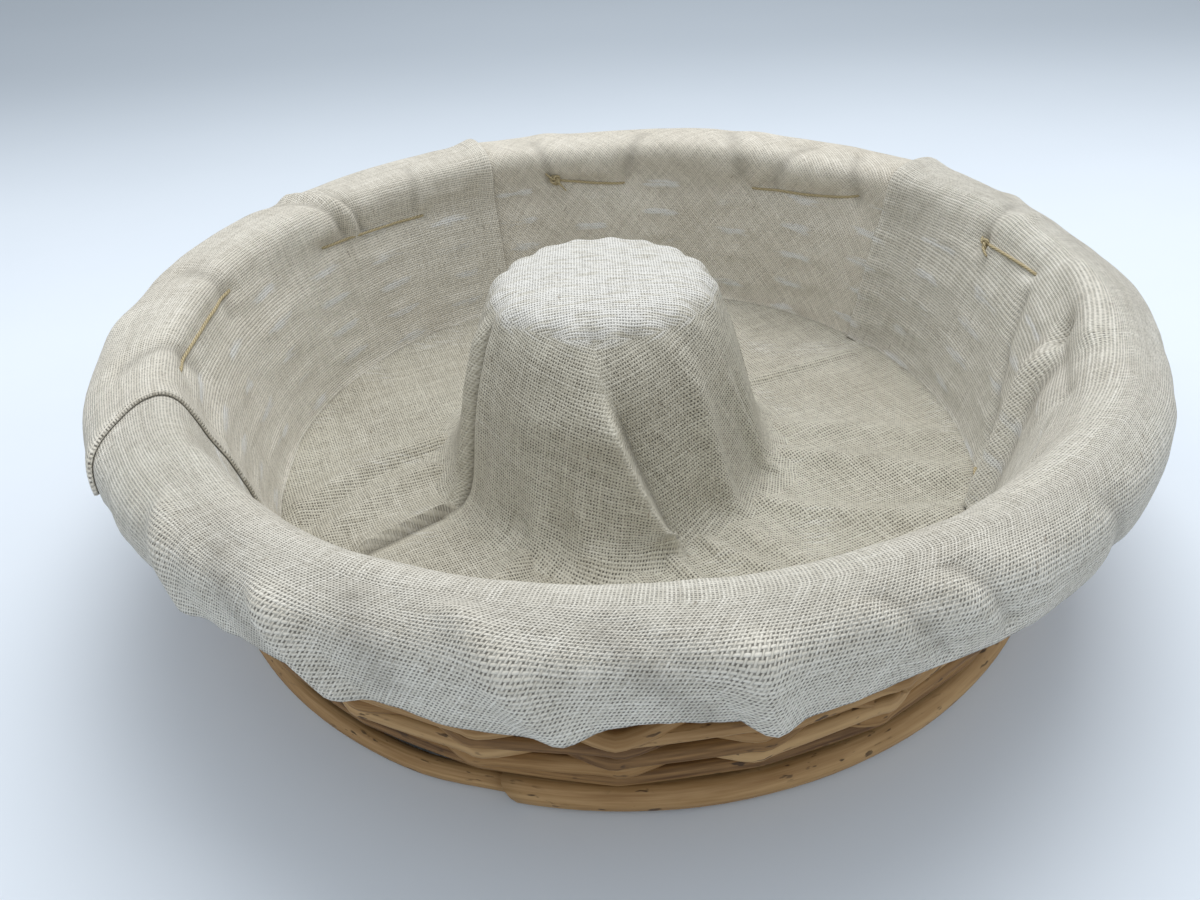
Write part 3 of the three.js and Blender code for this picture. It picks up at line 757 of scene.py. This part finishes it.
# Folds of the wall lining: azimuth and length along the section at both ends, width, height
WALL_FOLDS = [
    (345.5, 44, 336, 3, 4.5, 4.6),
    (341, 44, 333, 10, 5, -0.9),
    (346, 47, 346.5, 51, 3.5, -3.6),
    (356, 62, 340, 58, 4, 2.4),
    (0, 47, 347, 6, 2.5, -1.6),
    (15, 52, 17, 74, 3, -1.4),
    (12, 52, 11, 72, 4, 1.4),
    (43, 52, 46, 72, 3.5, -1.4),
    (58, 52, 54, 74, 4, -1.6),
    (64, 54, 68, 80, 5, -1.4),
    (86, 52, 83, 76, 4, -1.8),
    (101, 52, 103, 74, 3.5, -1.2),
    (129, 52, 127, 70, 3, -1.0),
    (140, 50, 144, 80, 2.2, -1.8),
    (141.5, 50, 147, 82, 2.2, 1.6),
    (144, 52, 150, 82, 2.2, -1.4),
    (173, 50, 171, 74, 4, -1.6),
    (187, 50, 191, 76, 4, -1.5),
    (284, 84, 289, 102, 2.0, 0.5),
    (286, 82, 291.2, 102, 1.7, -1.5),
    (290.4, 84, 294.8, 100, 2.0, 0.6),
    (292.4, 80, 296.8, 100, 1.7, -1.5),
    (295, 78, 301, 100, 2.6, 0.5),
    (266, 82, 274, 108, 4.5, -3.4),
    (272.8, 100, 275.4, 114, 2.2, -3.4),
    (276.4, 90, 278.4, 114, 3.5, 2.6),
    (256, 80, 263, 108, 4, 2.8),
    (247, 80, 250, 100, 7, -4.0),
    (240, 90, 246, 110, 4, 2.4),
    (232, 82, 238, 106, 6, -2.8),
    (222, 84, 226, 104, 5, 2.4),
    (310, 88, 314, 110, 4, -1.2),
    (20, 86, 24, 110, 5, 1.2),
    (60, 88, 58, 112, 5, -1.4),
    (100, 88, 103, 112, 6, 1.2),
    (150, 86, 154, 110, 5, -1.3),
    (180, 88, 178, 110, 6, 1.2),
]


def section_rows(section, steps):
    """Along a section: length, then radius, height and the direction away from the willow."""
    points = smooth_line([Vector((radius, 0, height)) for radius, height in section], steps)
    last = len(points) - 1
    rows = []
    length = 0.0
    for index, point in enumerate(points):
        if index:
            length += (point - points[index - 1]).length
        ahead = (points[min(index + 1, last)] - points[max(index - 1, 0)]).normalized()
        rows.append((length, point.x, point.z, -ahead.z, ahead.x))
    return rows


def between_rows(rows, length):
    """Values at a length, from rows that begin with theirs."""
    high = min(bisect.bisect_right(rows, length, key=lambda row: row[0]), len(rows) - 1)
    first = rows[high - 1]
    second = rows[high]
    share = (length - first[0]) / (second[0] - first[0])
    return [mix(a, b, share) for a, b in zip(first[1:], second[1:])]


FULL_ROWS = section_rows(FULL_SECTION, 24)
SLIM_ROWS = section_rows(SLIM_SECTION, 24)
# Length along the full section, then the values of both
SECTION = [full + slim[1:] for full, slim in zip(FULL_ROWS, SLIM_ROWS)]


def read_line(table, azimuth):
    """Value at an azimuth of a table of azimuths and values that goes once round."""
    azimuth %= 360
    for (start, low), (end, high) in zip(table, table[1:]):
        if start <= azimuth <= end:
            return mix(low, high, ease(azimuth, start, end))


def hem_length(azimuth):
    """Length along the section at which the cut edge lies."""
    height = sum(read_line(HEM_LINE, azimuth + off) for off in (-4, -2, 0, 2, 4)) / 5
    height += 0.5 * wander(azimuth, 0, 2.3, 5) + 0.25 * wander(azimuth, 0, 0.8, 6)
    return next(row[0] for row in reversed(SECTION) if row[2] >= height)


def near_line(x, y, line, scale):
    """Distance in millimetres from a place to a fold's line; x is an azimuth, a degree of it scale long."""
    start_x, start_y, end_x, end_y = line
    run = turn_between(end_x, start_x) * scale
    rise = end_y - start_y
    across = turn_between(x, start_x) * scale
    share = (across * run + (y - start_y) * rise) / (run * run + rise * rise)
    share = min(max(share, 0.0), 1.0)
    return math.hypot(across - run * share, y - start_y - rise * share)


def fold_relief(folds, x, y, scale, reach):
    """Height of the folds whose first azimuth lies within reach of a place."""
    height = 0.0
    for fold in folds:
        if abs(turn_between(x, fold[0])) <= reach:
            height += fold[5] * bell(near_line(x, y, fold[:4], scale), fold[4])
    return height


def rod_behind(azimuth, height):
    """How strongly a rod of the weave presses on the cloth from behind."""
    stake = azimuth % 360 / SPACE + 0.5
    row = (height - FIRST_WEAVER_HEIGHT) / WEAVER_PITCH - stake / STAKES
    inner = max(0.0, -math.cos(math.pi * (stake + STAKES * round(row))))
    return inner ** 1.5 * bell(row - round(row), 0.36)


def stitch_ends(stake):
    """Azimuth and length along the section at both ends of a stitch."""
    first = stake_angle(stake - 0.5)
    last = stake_angle(stake + 0.5)
    first, low, last, high = STITCH_ENDS.get(stake, (first, STITCH_HEIGHT, last, STITCH_HEIGHT))
    return first, low - WALL_RISE, last, high - WALL_RISE


STITCHES = [stitch_ends(stake) for stake in STITCH_STAKES]


def stitch_relief(azimuth, length):
    """The cloth is drawn in along each stitch, most at its ends, and puffs above it."""
    depth = 0.0
    for stitch in STITCHES:
        if abs(turn_between(azimuth, stitch[0])) > 40:
            continue
        depth -= 0.9 * bell(near_line(azimuth, length, stitch, FOLD_DEGREE), 2.6)
        depth += 0.7 * bell(near_line(azimuth, length - 8, stitch, FOLD_DEGREE), 5)
        for end, at in (stitch[:2], stitch[2:]):
            off = math.hypot(turn_between(azimuth, end) * FOLD_DEGREE, length - at)
            depth -= 0.9 * bell(off, 2.6)
    return depth


def wall_relief(azimuth, length):
    """How far the cloth stands off its section."""
    inside = 1 - ease(length, 50, 62)
    outside = ease(length, 78, 96)
    arc = azimuth * WALL_DEGREE
    depth = 0.55 * inside * rod_behind(azimuth, length + WALL_RISE)
    depth += 0.5 * wander(arc, length, 30, 11) + 0.25 * wander(arc, length, 11, 12)
    depth += outside * (0.7 * wander(arc, length * 0.5, 24, 13) + 0.35 * wander(arc, length * 0.6, 9, 14))
    depth += stitch_relief(azimuth, length)
    # Gathers between the stitches and the rim, round the back
    gather = 0.9 * wander(arc, length * 0.35, 6, 16)
    gather += 0.5 * wander(arc + length * 0.5, length * 0.3, 11, 17)
    depth += gather * bell(length - 56, 9) * ease(abs(turn_between(azimuth, 270)), 70, 110)
    return depth + fold_relief(WALL_FOLDS, azimuth, length, FOLD_DEGREE, 40)


def wall_place(azimuth, length, lift):
    values = between_rows(SECTION, length)
    slim = read_line(SLIM_LINE, azimuth)
    radius, height, out, rise = [mix(a, b, slim) for a, b in zip(values[:4], values[4:])]
    upper = ease(length, 30, 75)
    drawn = sum(bell(turn_between(azimuth, stake_angle(stake)), 10) for stake in STITCH_STAKES)
    radius += upper * (0.3 - 0.7 * drawn)
    height += upper * (0.2 - 0.6 * drawn + 0.8 * wander(azimuth, 0, 14, 15))
    push = max(wall_relief(azimuth, length), mix(-9, -1.0, ease(length, 56, 66)))
    push += lift
    # The seam on the left slants to the front outside the rim
    slant = (5 + 9 * ease(length, 58, 104)) * bell(turn_between(azimuth, SEAM_LEFT), 24)
    slant -= 3 * bell(turn_between(azimuth, SEAM_RIGHT), 20)
    return polar(radius + out * push, azimuth + slant, height + rise * push)


# Columns at a seam, from the panel outwards: millimetres beyond it and height
# Where the edge is turned under, the height is a share of its lip
LIP_COLUMNS = [
    (-8, 0.1), (-5.5, 0.35), (-3, 0.7), (-1.2, 0.95), (0, 1.0), (0.6, 0.9), (0.8, 0.72), (0.6, 0.58),
    (0, 0.5), (-2, 0.5), (-4.5, 0.5),
]
# How many of these are the turned-under ones
LIP_UNDER = 4
# Where the edge is flat, beneath the lip of the next panel
FLAT_COLUMNS = [(-4, 0.0), (-1.5, -0.1), (0.5, -0.25), (2.5, -0.2), (5, -0.15)]
# Between the seams the columns lie this many millimetres apart
COLUMN_SPACING = 1.7


def edge_columns(seam, side, lip):
    """Azimuths and heights of the columns at a seam."""
    columns = FLAT_COLUMNS
    if lip:
        columns = [(place, lift * lip) for place, lift in LIP_COLUMNS]
    return [(seam + side * place / WALL_DEGREE, lift) for place, lift in columns]


def formed_sheet(columns, rows, spread, form, cloth, crease_shade):
    """A flat grid of cloth, bent to its place.

    spread turns a column and a row into the coordinates that form and crease take, and crease gives the
    painted shade there.
    cloth also takes those of the lowest corner of its face.
    """
    bm = bmesh.new()
    flat = bm.loops.layers.uv.new("cloth")
    bmesh.ops.create_grid(bm, x_segments=columns, y_segments=rows, size=0.5)

    def cell(vert):
        return round((vert.co.x + 0.5) * columns), round((vert.co.y + 0.5) * rows)

    for face in bm.faces:
        corner = spread(*min(cell(vert) for vert in face.verts))
        for loop in face.loops:
            u, v = cloth(*spread(*cell(loop.vert)), *corner)
            loop[flat].uv = (u * MM, v * MM)
    crease_shade_layer = bm.verts.layers.float.new("crease_shade")
    for vert in bm.verts:
        place = spread(*cell(vert))
        vert.co = form(*place)
        vert[crease_shade_layer] = crease_shade(*place)
    return bm


def linen_piece(node, bm, material, marks, closed=False):
    """A piece of linen; marks gives how pale and chalky it is at a place, and how loosely it hangs, which
    sets how much painted shade shows in its gaps.
    """
    paleness_layer = bm.verts.layers.float.new("paleness")
    looses = bm.verts.layers.float.new("loose")
    for vert in bm.verts:
        vert[paleness_layer], vert[looses] = marks(vert.co)
    if closed:
        bmesh.ops.remove_doubles(bm, verts=bm.verts, dist=0.001)
    bmesh.ops.recalc_face_normals(bm, faces=bm.faces)
    piece = new_piece("linen", node, bm, material)
    solid = piece.modifiers.new("thickness", "SOLIDIFY")
    solid.thickness = LINEN_THICKNESS * MM
    solid.offset = 0
    return piece


def wall_marks(place):
    """The rods behind scuff the cloth inside the wall, and it hangs looser outside."""
    radius = math.hypot(place.x, place.y)
    loose = mix(0.4, 0.7, ease(radius, 122, 140))
    if radius >= 124 or place.z >= 62:
        return 0.0, loose
    azimuth = math.degrees(math.atan2(place.y, place.x))
    often = ease(wander(azimuth * FOLD_DEGREE, place.z, 16, 21), -0.6, 0.1)
    return often * ease(rod_behind(azimuth, place.z), 0.3, 0.75), loose


def wall_panel(node, start, end, lips, material, skew=0.0):
    """One piece of the wall lining between two seams.

    lips are the heights of its edges at both, 0 where it lies beneath the next panel.
    skew slants its upright threads outside the rim.
    """
    first = edge_columns(start, -1, lips[0])[::-1]
    last = edge_columns(end, 1, lips[1])
    inner = first[-1][0]
    outer = last[0][0]
    steps = round((outer - inner) * WALL_DEGREE / COLUMN_SPACING)
    middle = [(mix(inner, outer, step / steps), 0.0) for step in range(1, steps)]
    columns = first + middle + last
    rows = 78
    run = [0.0]
    for before, after in zip(columns, columns[1:]):
        run.append(run[-1] + max(abs(after[0] - before[0]) * RIM_DEGREE, 0.3))

    def spread(column, row):
        return column, hem_length(columns[column][0]) * row / rows

    def form(column, length):
        azimuth, lift = columns[column]
        return wall_place(azimuth, length, lift)

    def cloth(column, length, *corner):
        return run[column] + skew * max(length - OUTSIDE_LENGTH, 0), length

    # Painted shade: dark under the turned-under lips, beside the flat edge that lies beneath the next panel,
    # and along the valleys of the folds
    def crease_shade(column, length):
        azimuth = columns[column][0]
        ends = (
            (lips[0], start - azimuth, column),
            (lips[1], azimuth - end, len(columns) - 1 - column),
        )
        dark = 0.0
        for lip, beyond, count in ends:
            if not lip:
                dark = max(dark, ease(beyond * WALL_DEGREE, -1.6, 0.2))
            elif count < LIP_UNDER:
                dark = 1.0
        for fold in WALL_FOLDS:
            if fold[5] < 0 and abs(turn_between(azimuth, fold[0])) < 30:
                off = near_line(azimuth, length, fold[:4], FOLD_DEGREE)
                dark = max(dark, 0.4 * bell(off, 0.6 * fold[4]))
        return dark

    bm = formed_sheet(len(columns) - 1, rows, spread, form, cloth, crease_shade)
    piece = linen_piece(node, bm, material, wall_marks)
    depths = [hem_length(azimuth) * MM for azimuth, _ in columns]


front_linen = linen("linen_front", 4, (0.99, 0.98, 0.95), spacing=0.0008)
wall_panel("lining_wall_front", SEAM_LEFT, SEAM_RIGHT + 360, (0, 2.0), front_linen, 0.42)
back_linen = linen("linen_back", 43, (1.03, 1.0, 0.95), warp=0.37, weft=0.37)
wall_panel("lining_wall_back", SEAM_RIGHT, SEAM_BACK, (0, 0), back_linen)
left_linen = linen("linen_left", 0, (1.03, 1.01, 0.97), weft=0.38)
wall_panel("lining_wall_left", SEAM_BACK, SEAM_LEFT, (2.0, 1.1), left_linen)

# Folds of the floor lining: azimuth and radius at both ends, width, height
FLOOR_FOLDS = [
    (195, 106, 174, 58, 4.6, 3.0),
    (200, 104, 181, 58, 2.4, -1.2),
    (205, 100, 190, 60, 4.6, 2.8),
    (30, 102, 32, 60, 2.2, 1.8),
    (345, 110, 350, 52, 4.5, 1.8),
    (340, 108, 338, 54, 4, -1.0),
    (334, 106, 322, 56, 4.5, 2.2),
    (356, 108, 4, 58, 5, 1.6),
    (284, 60, 290, 84, 2.6, 2.4),
    (296, 58, 304, 84, 3.0, 2.0),
    (274, 66, 276, 90, 3.5, 1.8),
    (60, 100, 56, 62, 5, 1.4),
    (110, 100, 113, 62, 5, 1.2),
    (236, 96, 244, 60, 4, 2.2),
    (312, 100, 308, 62, 5, 1.6),
]
# Azimuth of the sewn-over edge on the left of the floor
FLOOR_EDGE = 212.5


def edge_along(radius):
    """Where along its radius the sewn-over edge runs."""
    return ease(radius, 56, 62) * (1 - ease(radius, 90, 96))


def floor_place(azimuth, radius):
    flat = polar(radius, azimuth, 0)
    lift = 0.5 * wander(flat.x, flat.y, 28, 31) + 0.25 * wander(flat.x, flat.y, 9, 32)
    lift += fold_relief(FLOOR_FOLDS, azimuth, radius, FLOOR_DEGREE, 60)
    # The sewn-over edge: a step, high towards the back
    aside = arc_between(azimuth, FLOOR_EDGE, radius)
    if aside <= 0:
        step = 4.0 * bell(aside, 6) * ease(aside, 0.5, -0.9)
    else:
        step = -0.3 * bell(aside, 5)
    lift += edge_along(radius) * step
    inward = ease(radius, 50, 58) * (1 - ease(radius, 106, 112))
    height = FLOOR_HEIGHT + inward * max(lift, -0.4) + 0.9 * ease(radius, 102, 111)
    shift = CONE_SHIFT * ease(radius, 112, 50)
    return polar(radius, azimuth, height) + Vector((shift, 0, 0))


def floor_marks(place):
    """Rubbed in patches; the gaps close on the step, where the weave would be stretched."""
    radius = math.hypot(place.x, place.y)
    azimuth = math.degrees(math.atan2(place.y, place.x))
    step = bell(arc_between(azimuth, FLOOR_EDGE, radius), 2.5)
    paleness = 0.35 * ease(wander(place.x, place.y, 20, 33), 0.0, 0.6)
    return paleness, mix(0.75 + 0.3 * wander(place.x, place.y, 30, 34), -0.7, step)


def floor_cloth(azimuth, radius, *corner):
    return polar(radius, azimuth, 0).xy


def floor_crease_shade(azimuth, radius):
    """Painted shade: dark along the sewn-over edge and, less so, along the foot of the wall."""
    edge = edge_along(radius) * bell(arc_between(azimuth, FLOOR_EDGE, radius) - 0.4, 0.9)
    return max(edge, 0.3 * ease(radius, 110.2, 111.4))


def add_floor_lining():
    columns = 520
    rows = 70
    inner = 50
    outer = 111.8

    def spread(column, row):
        return 360 * column / columns, mix(inner, outer, row / rows)

    bm = formed_sheet(columns, rows, spread, floor_place, floor_cloth, floor_crease_shade)
    material = linen("linen_floor", 24, (0.8, 0.785, 0.725), warp=0.33, weft=0.33, spacing=0.00084)
    piece = linen_piece("lining_floor", bm, material, floor_marks, closed=True)


add_floor_lining()

# Section of the hood as radius and height, from the middle of the top down to the foot
HOOD_SECTION = [
    (0, 75.4), (9, 75.3), (18, 74.9), (25, 74.0), (29.8, 72.6), (32.9, 70.0), (35.2, 66.0), (38.9, 56.5),
    (42.2, 46.5), (45, 36.5), (47.8, 26.5), (50.2, 19), (52.6, 15.2), (56, 13.1), (60.5, 12.1), (65, 11.5),
]
HOOD = section_rows(HOOD_SECTION, 16)
HOOD_LENGTH = HOOD[-1][0]
# Length along the section at which the side of the hood begins, and that of the side down to the skirt
HOOD_SHOULDER = 35
HOOD_SIDE = HOOD_LENGTH - 10 - HOOD_SHOULDER
# Lines down the side: azimuths at its top and at its foot
HOOD_SLIT = (201, 212)
HOOD_FOLD = (263, 288.5)
HOOD_RIDGE = (303, 313)
HOOD_STEP = (326, 341)
# Lines from which the threads run another way, in the order of their azimuths, and how they turn there
HOOD_LAPS = [(HOOD_SLIT, 15), (HOOD_FOLD, -18), (HOOD_STEP, -4), ((420, 420), 10), ((490, 490), 4)]
# Puckers at the foot, in front on the left: line, width, height
HOOD_PUCKERS = [
    ((240, 246), 3.0, 1.9), ((247, 255), 2.4, -1.6), ((232, 236), 3.0, -1.2),
    ((252, 263), 2.6, 1.7), ((222, 224), 3.5, 1.2), ((270, 276), 2.6, -1.2),
]
# Soft folds round the back: line, width, height
HOOD_BACK_FOLDS = [((20, 12), 5, 1.6), ((62, 70), 5, -1.4), ((100, 92), 5, 1.8), ((140, 148), 5, -1.5)]


def hood_share(length):
    """How far down the side of the hood a place lies, from 0 to 1."""
    return min(max((length - HOOD_SHOULDER) / HOOD_SIDE, 0.0), 1.0)


def hood_aside(azimuth, share, line, radius):
    """Millimetres round the cone from one of its lines, at a share of the way down."""
    return arc_between(azimuth, mix(*line, share), radius)


def hood_relief(azimuth, length, radius):
    """How far the hood's cloth stands off its section."""
    share = hood_share(length)
    side = ease(length, 30, 38)
    low = ease(share, 0.0, 0.35)
    flat = polar(length, azimuth, 0)
    push = 0.35 * wander(flat.x, flat.y, 12, 41) + 0.5 * side * wander(azimuth * 0.8, length * 0.4, 14, 42)
    # Rods of the crown bear on the cloth round the edge of the top
    crown = bell(length - 34, 5)
    push += 0.7 * crown * (math.cos(math.radians(azimuth) * 17 + 0.5) - 0.3)
    push -= 2.6 * bell(length - 34, 7) * bell(turn_between(azimuth, 268), 45)
    # Overlapped pleat on the left, with its slit
    aside = hood_aside(azimuth, share, HOOD_SLIT, radius)
    pleat = -2.8 * bell(aside - 0.2, 1.0) + 3.0 * bell(aside + 4, 3.0) + 1.0 * bell(aside - 3.5, 2.5)
    push += side * ease(share, 0.02, 0.2) * pleat
    push += side * ease(share, 0.1, 0.4) * 1.4 * bell(aside + 11, 2.6)
    # Large slanting fold at the front: its left side lies over its right side
    aside = hood_aside(azimuth, share, HOOD_FOLD, radius)
    if aside < 0:
        step = 8.5 * math.exp(aside / 15)
    else:
        step = -3.0 * math.exp(-aside / 11)
    push += side * ease(share, 0.2, 0.44) * step * mix(0.1, 1, ease(abs(aside), 0.0, 1.2))
    push += side * 1.8 * bell(aside + 5, 7) * bell(share - 0.26, 0.12)
    # Ridge and step on the right
    aside = hood_aside(azimuth, share, HOOD_RIDGE, radius)
    push += side * low * 2.8 * bell(aside, 3.6)
    aside = hood_aside(azimuth, share, HOOD_STEP, radius)
    push += side * ease(share, 0.2, 0.7) * (2.2 * bell(aside + 2.4, 2.6) - 1.6 * bell(aside - 1.4, 2.0))
    for line, width, height in HOOD_PUCKERS:
        push += ease(share, 0.55, 0.95) * height * bell(hood_aside(azimuth, share, line, radius), width)
    for line, width, height in HOOD_BACK_FOLDS:
        push += side * low * height * bell(hood_aside(azimuth, share, line, radius), width)
    return push


def hood_place(azimuth, length):
    radius, height, out, rise = between_rows(HOOD, length)
    push = hood_relief(azimuth, length, max(radius, 1))
    # In front the cloth is not drawn in and runs out over the floor
    low = max(0.0, (length - 0.6 * HOOD_LENGTH) / (0.4 * HOOD_LENGTH))
    radius += 11 * low * low * bell(turn_between(azimuth, 264), 17)
    calm = 1 - ease(length, HOOD_LENGTH - 13, HOOD_LENGTH - 5)
    height += rise * push * calm
    return cone_place(radius + out * push * mix(0.3, 1, calm), azimuth, height)


def hood_marks(place):
    """Nearly white on top; the gaps close along the slit and the fold, where the weave would be stretched."""
    share = min(max((68 - place.z) / 54, 0), 1)
    azimuth = math.degrees(math.atan2(place.y, place.x - CONE_SHIFT))
    slit = bell(hood_aside(azimuth, share, HOOD_SLIT, 46), 4)
    fold = bell(hood_aside(azimuth, share, HOOD_FOLD, 46), 2)
    steep = max(slit, fold) * ease(share, 0.0, 0.15)
    # The top of the hood is painted nearly white, most at the crown; lower down pale patches lie at random
    top = ease(place.z + 3 * wander(place.x, place.y, 13, 44), 64, 72)
    paleness = max(0.8 * top, 0.25 * ease(wander(place.x, place.z, 14, 43), 0.1, 0.7))
    return paleness, mix(mix(0.9, 0.5, top), -0.5, steep)


def hood_cloth(azimuth, length, near, level):
    """The top is one flat piece; between the lines down the side the cloth turns its own way."""
    if level < HOOD_SHOULDER - 1:
        return polar(length, azimuth, 0).xy
    share = min((level - HOOD_SHOULDER) / HOOD_SIDE, 1)
    laps = [(mix(*line, share), turn) for line, turn in HOOD_LAPS]
    start = laps[0][0]
    near = (near - start) % 360 + start
    for (lap, turn), (beyond, _) in zip(laps, laps[1:] + [(start + 360, 0)]):
        if near < beyond:
            break
    off = turn_between(azimuth, (lap + beyond) / 2)
    down = length - HOOD_SHOULDER
    place = Vector((math.radians(off) * (CONE_TOP_RADIUS + down * 0.33), -down))
    return Matrix.Rotation(math.radians(turn), 2) @ place


def hood_crease_shade(azimuth, length):
    """Painted shade: dark along the slit and the fold, down to the foot."""
    share = hood_share(length)
    radius = max(between_rows(HOOD, length)[0], 1)
    slit = bell(hood_aside(azimuth, share, HOOD_SLIT, radius) - 0.5, 1.2) * ease(share, 0.03, 0.12)
    fold = bell(hood_aside(azimuth, share, HOOD_FOLD, radius) - 0.8, 1.0) * ease(share, 0.24, 0.46)
    return max(slit, 0.7 * fold) * (1 - ease(length, HOOD_LENGTH - 8, HOOD_LENGTH))


def add_hood():
    columns = 460
    rows = 84

    def spread(column, row):
        return 360 * column / columns, HOOD_LENGTH * row / rows

    bm = formed_sheet(columns, rows, spread, hood_place, hood_cloth, hood_crease_shade)
    material = linen("linen_hood", 0, (0.81, 0.8, 0.745), spacing=0.00082)
    piece = linen_piece("cone_hood", bm, material, hood_marks, closed=True)


add_hood()


# Twine

def stitch_line(stake, droop):
    """Out of one hole, along the cloth and into the next hole."""
    first, low, last, high = stitch_ends(stake)
    points = [wall_place(first, low, -3.5)]
    for step in range(9):
        share = step / 8
        sag = math.sin(math.pi * share)
        raised = -0.7 if stake == LOOP_STAKE else 0.35 + 0.45 * sag
        points.append(wall_place(mix(first, last, share), mix(low, high, share) - droop * sag, raised))
    points.append(wall_place(last, high, -3.5))
    return smooth_line(points, 5)


def add_knot(bm, middle, tangent, inward, tone):
    """A small overhand knot with two loose ends."""
    up = inward.cross(tangent)
    loops = []
    for step in range(61):
        angle = step / 60 * 4 * math.pi
        reach = 1.35 + 0.55 * math.cos(1.5 * angle)
        loops.append(
            middle + tangent * (reach * math.cos(angle)) + up * (reach * math.sin(angle))
            + inward * (1.2 + 0.7 * math.sin(1.5 * angle))
        )
    add_rod(bm, loops, 1.05, 1.05, tone, 8)
    for side, rise in ((-1, 2.2), (1, -1.4)):
        end = [
            middle + inward * 1.2,
            middle + inward * 2.2 + tangent * side * 1.6 + up * rise * 0.4,
            middle + inward * 2.0 + tangent * side * 3.4 + up * rise,
            middle + inward * 1.4 + tangent * side * 5.0 + up * rise * 1.6,
        ]
        add_rod(bm, smooth_line(end, 6), 0.95, 0.7, tone, 8)


def add_twine(chance):
    for index, stake in enumerate(STITCH_STAKES):
        bm = bmesh.new()
        line = stitch_line(stake, 0.8 * chance.random())
        add_rod(bm, line, 1.0, 1.0, chance.random(), 8)
        if stake in KNOT_STAKES:
            place = line[-9]
            tangent = (line[-8] - line[-10]).normalized()
            inward = Vector((-place.x, -place.y, 0)).normalized()
            add_knot(bm, place, tangent, inward, 0.5)
        if stake == LOOP_STAKE:
            corner = [
                polar(112.2, 346.5, 12.4), polar(111.4, 346, 15.0), polar(110.8, 344.5, 15.6),
                polar(110.9, 341.5, 15.0), polar(111.6, 339.6, 13.4), polar(112.4, 339.2, 12.2),
            ]
            add_rod(bm, smooth_line(corner, 6), 1.0, 1.0, 0.4, 8)
        new_piece("linen", f"twine_stitch_{index + 1}", bm, TWINE)


add_twine(random.Random(3))
